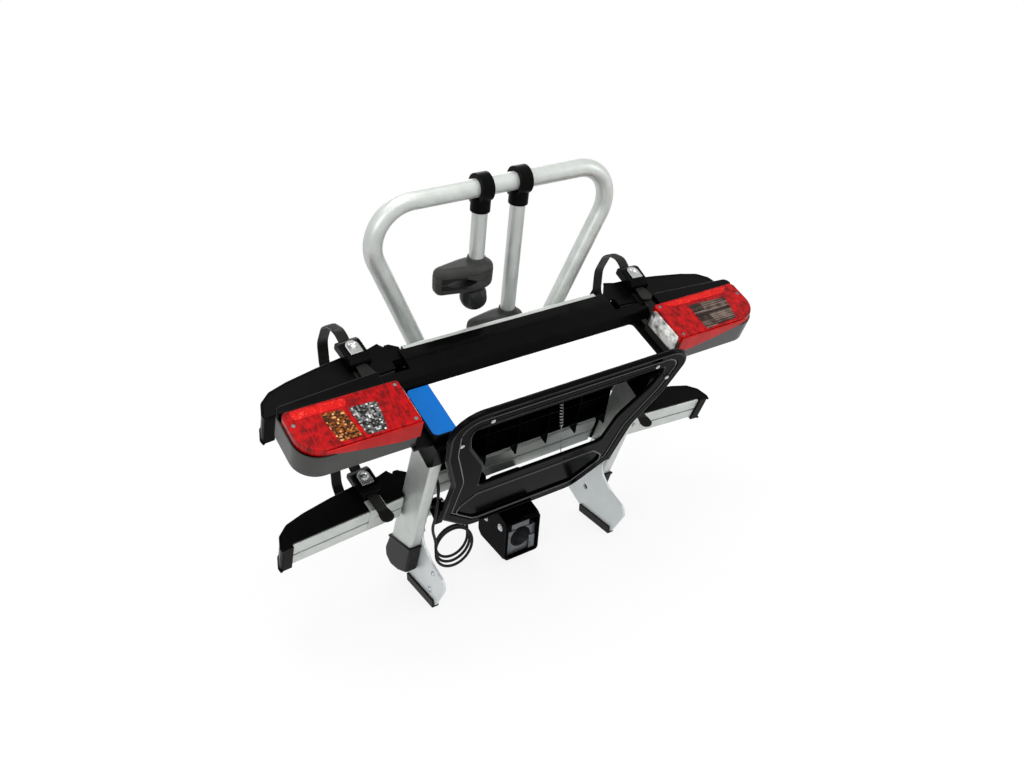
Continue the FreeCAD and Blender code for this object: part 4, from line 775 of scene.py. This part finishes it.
# %% Buckles and release pads
for row in ROWS:
    for side, sign in SIDES.items():
        label = row + "_" + side
        middle = sign * STRAP_AT
        shell = [(-35, 39.5, 3), (-37, 53, 8), (-24, 61, 10), (12, 63, 14), (25, 55, 9), (25, 39.5, 3)]
        housing = prism("housing", "x", [shell], middle - 20.5, 41)
        slot_line = rounded([(-130, 49.4), (-52, 48, 20), (16, 47, 30), (44, 53)], 9, closed=False)
        upper = [Vector((p.x, p.y + 1.9)) for p in slot_line]
        lower = [Vector((p.x, p.y - 1.9)) for p in slot_line]
        slot = prism("slot", "x", [upper + lower[::-1]], middle - 11.4, 22.8)
        well = prism("well", "z", [[(middle - 13.3, -20.8, 2), (middle + 13.3, -20.8, 2), (middle + 13.3, 12.8, 12.6),
                                    (middle - 13.3, 12.8, 12.6)]], 53.5, 20)
        carve(housing, slot, well)
        soften(housing, 1.6, 3)
        cheeks = []
        for edge in (-1, 1):
            cheek = [(-31, 44, 4), (-31, 51, 5), (-16, 57, 10), (10, 59, 12), (20, 52, 6), (20, 44, 4)]
            start = middle + (20.1 if edge > 0 else -21.9)
            cheeks.append(soften(prism("cheek", "x", [cheek], start, 1.8), 0.8, 2))
        foot = prism("foot", "x", [[(-34, 38.5), (-34, 41), (-18, 41), (-18, 38.5)]], middle - 6, 12)
        fit(joined("buckle_housing_" + label, housing, foot, *cheeks), tray_place(row, side), "tray_" + label,
            satin_black, ["buckle_" + label])
        pad = prism("pad", "z", [[(middle - 12.6, -20, 1.5), (middle + 12.6, -20, 1.5), (middle + 12.6, 12, 12.2),
                                  (middle - 12.6, 12, 12.2)]], 56.7, 8)
        scoop = turned_piece("scoop", [(60.8, 0.5), (61.3, 4.4), (62.6, 7.8), (65.4, 10.2), (66.5, 10.6)], "z",
                             (middle, -2, 0), 32)
        soften(carve(pad, scoop), 0.7, 3, 50)
        fit(pad, tray_place(row, side), "button_" + label, pad_chrome, ["button_" + label])
        pad.name = "release_pad_" + label

# %% [markdown]
# ## Lamps
# Each lamp is a dark tub, a black brow above it, a bright reflector and a moulded lens. The lens is three
# mouldings welded side by side: red, amber and water white, with a strip of reflex prisms along the top. At
# its inner end the red wraps down over the tub's side. The cells are made as thin solids let into the front.

# %% Tubs and brows
LAMP_IN, LAMP_OUT, LAMP_LOW, LAMP_HIGH = 290, 507, 6, 105
STEP_AT, BROW_IN, BROW_OUT = 312, 137, 122
TUB_FRONT, LENS_FRONT, LENS_BACK = 485, 535, 552


def tub_outline(sign, wall=0):
    points = [(LAMP_IN + wall, LAMP_LOW + wall, 8), (LAMP_OUT - wall, LAMP_LOW + wall, 45),
              (LAMP_OUT - wall, BROW_OUT - wall, 14), (STEP_AT + wall, BROW_IN - wall, 4),
              (STEP_AT + wall, LAMP_HIGH - wall, 0), (LAMP_IN + wall, LAMP_HIGH - wall, 6)]
    return [(sign * x, y, max(radius - wall, 0)) for x, y, radius in points]


tubs = []
for side, sign in SIDES.items():
    tub = prism("tub", "z", [tub_outline(sign)], TUB_FRONT, LENS_FRONT - TUB_FRONT)
    carve(tub, prism("hollow", "z", [tub_outline(sign, 3)], TUB_FRONT + 3, 80))
    tubs.append(painted(soften(tub, 1.2, 2), tub_grey))
    ledge = [(sign * STEP_AT, 105.4), (sign * LAMP_OUT, 105.4), (sign * LAMP_OUT, BROW_OUT, 14),
             (sign * STEP_AT, BROW_IN, 4)]
    tubs.append(painted(soften(prism("brow", "z", [ledge], LENS_FRONT - 3, 17), 3.5, 4), satin_black))
fit(joined("lamp_tubs", *tubs), PLATFORM, "platform", None, ["lamp_housings"])

# %% [markdown]
# The lens follows its tub, with the same wide corner low at the outer end. Every cell is drawn on the real
# lens's face, so its corners are in the same millimetres as the outline, and three small screws hold it.

# %% Lenses
LENS_OUTLINE = {side: [(sign * 290, 7, 5), (sign * 290, 104, 6), (sign * 504, 104, 10), (sign * 504, 8, 48)]
                for side, sign in SIDES.items()}
CELLS = {
    "left": [
        (amber_lens, [(-445, 79, 4), (-407, 77, 4), (-397, 14, 4), (-438, 16, 5)]),
        (clear_lens, [(-396, 76, 4), (-344, 74, 5), (-353, 11, 5), (-390, 13, 4)]),
        (reflex_lens, [(-491, 101, 3), (-488, 82, 4), (-398, 81, 4), (-391, 98, 4)]),
    ],
    "right": [
        (smoke_lens, [(361, 79, 4), (457, 73, 6), (442, 15, 5), (358, 11, 5)]),
        (reflex_lens, [(486, 100, 3), (460, 84, 4), (330, 86, 4), (302, 99, 4)]),
    ],
}
lenses = []
for side, sign in SIDES.items():
    shell = prism("cover", "z", [LENS_OUTLINE[side]], LENS_FRONT, LENS_BACK - LENS_FRONT)
    hollow = inset(rounded(LENS_OUTLINE[side]), 3)
    carve(shell, prism("hollow", "z", [hollow], LENS_FRONT - 1, LENS_BACK - LENS_FRONT - 2))
    lenses.append(painted(soften(shell, 3, 4), red_lens))
    for material, outline in CELLS[side]:
        lenses.append(painted(soften(prism("cell", "z", [outline], LENS_BACK - 1.5, 2.3), 0.7, 2), material))
    skirt = [(sign * 290, 551), (sign * 290, 512, 4), (sign * 330, 514, 20), (sign * 400, 528, 60),
             (sign * 452, 540, 60), (sign * 468, 551)]
    lenses.append(painted(soften(prism("skirt", "y", [skirt], 3.4, 3), 1, 2), skirt_lens))
    window = prism("window", "x", [[(14, 505, 6), (96, 505, 6), (96, 546, 6), (14, 546, 6)]],
                   286.6 if sign > 0 else -289.8, 3.2)
    lenses.append(painted(soften(window, 1, 2), bright_window))
    for at_x, at_y in ((299, 15), (299, 95), (494, 72)):
        head = [(551.4, 3.4), (552.4, 3.4), (552.8, 2.8), (552.8, 1.5), (552.2, 1.2), (552.2, 0.3)]
        screw = turned_piece("screw", head, "z", (sign * at_x, at_y, 0), 20)
        lenses.append(painted(screw, coated_iron))
fit(joined("lamp_lens_covers", *lenses), PLATFORM, "platform", None, ["lamp_lenses"])

# %% [markdown]
# ## Pedal
# The foot pedal is the glossiest piece: a thin polished loop with a rounded rim all round, a second line
# moulded 24 mm inside it, and a dished toe plate. A flat plate, a stepped border and beads along their edges
# catch the light in the same lines, and four plated studs hold the two halves together.

# %% Pedal loop
PEDAL_HIGH, PEDAL_REACH = 438, 264
outer_loop = rounded(mirrored([(132, 0, 50), (212, 78, 30), (214, 200, 60), (254, 310, 50),
                               (PEDAL_REACH, 378, 40), (258, PEDAL_HIGH, 60)]), 7)
inner_loop = rounded(mirrored([(152, 160, 18), (162, 245, 60), (210, 325, 50), (220, 368, 30), (214, 396, 20)]), 7)
DISH = mirrored([(118, 22, 40), (188, 88, 30), (140, 134, 18)])
FACE, BACK = -9, 3
plate = prism("plate", "y", [inset(outer_loop, 4), inset(inner_loop, -3)], FACE + 4, BACK - FACE - 4)
dish = prism("dish", "y", [DISH], FACE + 2, 5)
SCOOP = mirrored([(190, 428, 10), (186, 406, 10)])
carve(plate, dish, prism("scoop", "y", [SCOOP], FACE - 1, 8))
loops = [painted(soften(plate, 0.8, 2), polished_black)]
border = prism("border", "y", [inset(outer_loop, 3.5), inset(outer_loop, 21)], FACE + 1.2, 4)
carve(border, prism("scoop", "y", [SCOOP], FACE - 1, 8))
loops.append(painted(soften(border, 1.6, 3), polished_black))
for name, line, height, radius, finish in (("rim", inset(outer_loop, 5.4), -3.4, 5.4, polished_rim),
                                           ("line", inset(outer_loop, 25), FACE + 3.4, 1.8, polished_line),
                                           ("inner_rim", inset(inner_loop, -3.2), -3, 3.2, polished_rim),
                                           ("dish_rim", rounded(DISH, 7), FACE + 3.6, 2, polished_line)):
    loops.append(painted(bead(name, [(p.x, height, p.y) for p in line], radius, True, 4), finish))
STUD = [(FACE + 3, 4.6), (FACE, 4.6), (FACE - 0.9, 3.6), (FACE - 1.2, 1.6), (FACE - 1.2, 0.3)]
for at_x, at_z in ((183, 403), (231, 350), (-183, 403), (-231, 350)):
    stud = turned_piece("stud", STUD, "y", (at_x, 0, at_z), 20)
    loops.append(painted(stud, zinc_steel))
for sign in SIDES.values():
    start = 200 if sign > 0 else -216
    ear = prism("ear", "x", [[(-5, 58), (-5, 114), (4, 110, 6), (38, 93, 14), (38, 73, 14), (4, 64, 6)]], start, 16)
    hole = turned_piece("hole", [(start - 6, 6.2), (start + 24, 6.2)], "x", (0, 24.6, 83.2), 24)
    loops.append(painted(soften(carve(ear, hole), 1.2, 2), polished_black))
hook = prism("hook", "x", [[(-6, 128), (-6, 146), (3, 142, 3), (6, 134, 3), (3, 130, 2)]], 63, 5)
loops.append(painted(soften(hook, 0.6, 2), polished_black))
fit(joined("pedal_moulding", *loops), PEDAL, "pedal", None, ["pedal"])

# %% [markdown]
# The pedal's return spring is wound from 1.5 mm wire, hooked under the bridge and on the pedal. One wire of
# the same diameter runs straight, coils nine times and runs straight again.

# %% Return spring
top, bottom = Vector((60, 45, 428)), Vector((65.5, -5.2, 295.5))
way = (bottom - top).normalized()
one = way.cross(Vector((1, 0, 0))).normalized()
two = way.cross(one)
TURNS, COIL_START, COIL_LENGTH, COIL_RADIUS, WIRE = 9, 10, 62, 3.85, 0.75
wire_points = [top, top + way * (COIL_START - 3)]
for i in range(TURNS * 14 + 1):
    angle = 2 * math.pi * i / 14
    spread = COIL_RADIUS * min(1, i / 10, (TURNS * 14 - i) / 10)
    wire_points.append(top + way * (COIL_START + COIL_LENGTH * i / (TURNS * 14))
                       + (one * math.cos(angle) + two * math.sin(angle)) * spread)
wire_points += [bottom - way * 40, bottom]
spring = bead("return_spring", wire_points, WIRE, False, 2)
spring.data.transform(PLATFORM)
for face in spring.data.polygons:
    face.use_smooth = True
painted(spring, zinc_steel)
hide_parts("pedal_spring")
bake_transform(spring)

# %% [markdown]
# ## Bike claws
# Each arm ends in a claw that grips a bike's frame: an almond of soft-touch rubber over a hard core, split by
# a lens-shaped mouth, with a ball knob under it that draws the lower jaw up. The halves are lofted through the
# same outline, drawn in for the groove round the upper half and more and more towards the outer face, which
# gives the pillow edge. A drum laid across each half cuts its side of the mouth, and the cut faces get the
# darker boot rubber as painted shade inside the mouth.

# %% Claw halves and knobs
ALMOND = [(35, -20, 24), (35, 20, 24), (-12, 31, 90), (-91, 12, 11), (-91, -12, 11), (-12, -31, 90)]
ALMOND_HALF_LENGTH, ALMOND_HALF_WIDTH, ALMOND_MIDDLE = 63, 29, -28
CLAW_UPPER, CLAW_LOWER, KNOB_RADIUS = 30, 25, 27.5
MOUTH_AT, MOUTH_RADIUS, MOUTH_RISE, MOUTH_FALL = -42, 58, 9, 8.5


def pillow(name, heights):
    """A solid through the almond at (z, inset) heights."""
    rings = []
    for z, depth in heights:
        along, aside = 1 - depth / ALMOND_HALF_LENGTH, 1 - depth / ALMOND_HALF_WIDTH
        rings.append([((p.x - ALMOND_MIDDLE) * along + ALMOND_MIDDLE, p.y * aside, z) for p in rounded(ALMOND, 6)])
    return loft(name, rings)


def knob_radius(z, angle, top):
    """The ball's radius at a height, pressed in by three finger flutes."""
    centre = top - KNOB_RADIUS + 4
    ball = math.sqrt(max(0.02, KNOB_RADIUS ** 2 - (z - centre) ** 2))
    pressed = ball
    for i in range(3):
        off = (angle - math.radians(90 + 120 * i) + math.pi) % (2 * math.pi) - math.pi
        reach = 39 * math.sin(off)
        if abs(off) < 1 and abs(reach) < 15:
            flute = 39 * math.cos(off) - math.sqrt(15 ** 2 - reach ** 2)
            soft = 1.2
            pressed = -soft * math.log(math.exp(-pressed / soft) + math.exp(-flute / soft))
    return pressed


def mouth_drum(middle_z):
    """The drum that cuts one side of the mouth."""
    return turned_piece("drum", [(-34, MOUTH_RADIUS), (34, MOUTH_RADIUS)], "y", (MOUTH_AT, 0, middle_z), 96)


def paint_mouth_shade(piece, middle_z):
    """Painted shade: the darker boot rubber on the faces that the drum has cut, for the shade inside the mouth."""
    painted(piece, claw_rubber).data.materials.append(boot_rubber)
    for face in piece.data.polygons:
        # Painted shade: faces inside the mouth take the darker rubber (index 1).
        away = math.hypot(face.center.x - MOUTH_AT, face.center.z - middle_z)
        if away < MOUTH_RADIUS + 0.6 and abs(face.center.y) < 33:
            face.material_index = 1
    return piece


for arm, (at_x, length) in ARMS.items():
    place = HOOP @ moved(at_x, 35.4, 572)
    low = -length - CLAW_UPPER
    upper = pillow("upper", [(low, 1), (low + 1, 0), (low + 13, 0), (low + 13.6, 1.8), (low + 15.4, 1.8),
                             (low + 16, 0.4), (low + 20, 1), (low + 24, 3.2), (low + 27, 7), (low + 29, 11.5),
                             (low + 30, 17)])
    socket = turned_piece("socket", [(-length - 6, 21), (-length - 1, 20.5), (-length + 2, 18.6), (-length + 7, 18),
                                     (-length + 8, 17)], "z", (0, 0, 0))
    seats = [turned_piece("seat", [(-length - 0.3, 15.2), (-length + 40, 15.2)], "z", (0, 0, 0)) for _ in range(2)]
    thread = turned_piece("thread", [(low - 1, 5.4), (low + 28, 5.4)], "z", (0, 0, 0), 20)
    under_mouth = low + MOUTH_RISE - MOUTH_RADIUS
    carve(upper, seats[0], thread, mouth_drum(under_mouth))
    carve(socket, seats[1])
    # The mouth faces of each half get painted shade in the darker rubber.
    paint_mouth_shade(soften(upper, 1.2, 2, 50), under_mouth)
    fit(joined(arm + "_claw_upper", upper, painted(socket, claw_rubber)), place, arm + "_claw", None, [arm + "_claw"])
    top = low - 0.3
    lower = pillow("lower", [(top, 1), (top - 1, 0.2), (top - 12, 0.4), (top - 18, 1.8), (top - 22.5, 5),
                             (top - 24.4, 9), (top - CLAW_LOWER, 12.5)])
    hole = turned_piece("hole", [(top - 35, 5.4), (top + 5, 5.4)], "z", (0, 0, 0), 20)
    over_mouth = top - MOUTH_FALL + MOUTH_RADIUS
    carve(lower, hole, mouth_drum(over_mouth))
    paint_mouth_shade(soften(lower, 1.2, 2, 50), over_mouth)
    fit(lower, place, arm + "_claw_jaw", None, [arm + "_claw_jaw"])
    lower.name = arm + "_claw_lower"
    under = low - CLAW_LOWER - 0.6
    rings = []
    for step in range(25):
        z = under - 0.02 - (2 * KNOB_RADIUS - 4.1) * (1 - math.cos(math.pi * step / 24)) / 2
        rings.append([(knob_radius(z, 2 * math.pi * i / 72, under) * math.cos(2 * math.pi * i / 72),
                       knob_radius(z, 2 * math.pi * i / 72, under) * math.sin(2 * math.pi * i / 72), z)
                      for i in range(72)])
    ball = loft("ball", rings)
    stem = turned_piece("stem", [(under - 6, 5), (under + 45.6, 5)], "z", (0, 0, 0), 20)
    fit(joined(arm + "_knob", ball, stem), place, arm + "_claw_knob", knob_nylon, [arm + "_claw_knob"], crease=55)

# %% [markdown]
# ## Coupling box
# The box that drops over the tow ball is a polished casing round an iron seat. Its open front has a thick
# rounded frame, bolt heads at the sides, and a wedge that shows how far the jaw has closed.

# %% Coupling trim
frame_ring = prism("frame", "y", [[(-43, -159, 9), (43, -159, 9), (43, -57, 10), (-43, -57, 10)],
                                  [(-36.5, -152.5, 4), (36.5, -152.5, 4), (36.5, -64.5, 5), (-36.5, -64.5, 5)]],
                   -63, 6)
trim = [painted(soften(frame_ring, 1.8, 3), polished_black)]
for sign in SIDES.values():
    gusset = prism("gusset", "x", [[(-50, -66), (-50, -92, 3), (-8, -62, 5), (-8, -50)]],
                   33 if sign > 0 else -37, 4)
    trim.append(painted(soften(gusset, 0.8, 2), polished_black))
    for along_y, along_z in ((-38, -82), (18, -96)):
        head = turned_piece("bolt", [(sign * 41.5, 6.4), (sign * 44.6, 6.4), (sign * 45.6, 5.4), (sign * 45.6, 0.4)],
                            "x", (0, along_y, along_z), 6)
        washer = turned_piece("washer", [(sign * 41.2, 8.4), (sign * 42.6, 8.4), (sign * 42.9, 8)], "x",
                              (0, along_y, along_z), 28)
        trim += [painted(soften(head, 0.5, 2), zinc_steel), painted(washer, zinc_steel)]
wedge = prism("wedge", "x", [[(-58.5, -152), (-20, -152), (-58.5, -112, 3)]], 20, 15)
trim.append(painted(soften(wedge, 0.8, 2), coated_iron))
fit(joined("coupling_trim", *trim), COUPLING, "coupling")

# %% [markdown]
# ## Small hardware
# Screws on the foot plates, and the lead's gland and parked plug. The plug is the 13-pin kind: a ribbed sleeve
# into a wide barrel with a raised collar, so it is turned on a lathe in one profile.

# %% Screws
screws = []
for side, sign in SIDES.items():
    for along_y, along_z, size in ((-62, 65, 5.2), (-58, 118, 4.2)):
        outer_face = sign * 228.5
        head = [(-1, size + 1.6), (0.8, size + 1.6), (1.2, size), (3, size - 1), (3.6, size - 2.4), (2.2, size - 2.8)]
        screws.append(turned_piece("screw", [(outer_face + sign * out, radius) for out, radius in head], "x",
                                   (0, along_y, along_z), 28))
fit(joined("foot_screws", *screws), PLATFORM, "platform", zinc_steel)

# %% Gland and plug
gland = turned_piece("gland", [(64, 7), (58, 7), (57.4, 9.6), (50.6, 9.6), (50, 7), (47, 6.6), (44.4, 4.4), (44, 3.3)],
                     "y", (-215, 0, 330), 32)
sleeve_ribs = []
for i in range(4):
    at = 216 + 4.6 * i
    size = 5.2 + (at - 214) * 0.17
    sleeve_ribs += [(at, size - 0.9), (at + 0.6, size), (at + 2.6, size + 0.3), (at + 3.2, size - 0.5)]
plug_profile = [(214, 3.2), (214.4, 4.6)] + sleeve_ribs + [(236, 9), (237, 15.5), (239, 17), (256, 17), (257, 18),
                                                          (262, 18), (263, 17), (271, 17), (272, 15.6)]
plug = turned_piece("plug", plug_profile, "z", (-108, 28, 0), 48)
clip = soften(prism("clip", "x", [[(40, 242), (40, 256), (70.5, 256), (70.5, 242)]], -116, 16), 1, 2)
fit(gland, PLATFORM, "platform", satin_black, ["lead_fittings"], crease=30)
gland.name = "lead_gland"
plug_piece = fit(joined("lead_plug", plug, clip), PLATFORM, "platform", satin_black, ["lead_fittings"], crease=30)

# %% [markdown]
# ## The lead
# The lamps' lead is a limp 6 mm PVC cable. It leaves its gland under the bridge, drops past the pedal, hangs
# in two and a half loose loops that close in a little, and turns up into the parked plug. One NURBS spline
# follows listed points, and the loops are more points of the same spline.

# %% Lead
DROP = [(-0.215, -0.00401, 0.32096), (-0.215, -0.0169, 0.31549), (-0.215, -0.0268, 0.30559),
        (-0.21691, -0.03275, 0.29086), (-0.22079, -0.03372, 0.26315), (-0.222, -0.02357, 0.222),
        (-0.219, -0.00157, 0.182), (-0.202, 0.01627, 0.13394), (-0.202, 0.0178, 0.1098)]
TAIL = [(-0.11, 0.0488, 0.1098), (-0.11, 0.05011, 0.12595), (-0.1095, 0.04743, 0.156), (-0.108, 0.03518, 0.18768),
        (-0.108, 0.02658, 0.20793)]
PER_TURN, LOOP_POINTS = 12, 30
loop_points = []
for i in range(LOOP_POINTS):
    share = (i + 0.5) / LOOP_POINTS
    angle = math.pi + 2 * math.pi * (i + 0.5) / PER_TURN
    radius = (0.044 - 0.006 * share) / 0.966
    loop_points.append((-0.158 + 0.010 * share + radius * math.cos(angle), 0.01843 + 0.030 * share,
                        0.098 + radius * math.sin(angle)))
lead_curve = bpy.data.curves.new("lamp_lead", "CURVE")
lead_curve.dimensions = "3D"
lead_curve.bevel_depth = 0.003
lead_curve.bevel_resolution = 5
lead_curve.resolution_u = 8
spline = lead_curve.splines.new("NURBS")
route = DROP + loop_points + TAIL
spline.points.add(len(route) - 1)
for target, point in zip(spline.points, route):
    target.co = (*point, 1)
spline.order_u = 3
spline.use_endpoint_u = True
lead = bpy.data.objects.new("lamp_lead", lead_curve)
bpy.context.scene.collection.objects.link(lead)
lead_curve.materials.append(boot_rubber)
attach(lead, "platform")
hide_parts("lead_drop", "lead_loops", "lead_tail")

# %% [markdown]
# ## The end

# %% The end
print("pieces fitted")
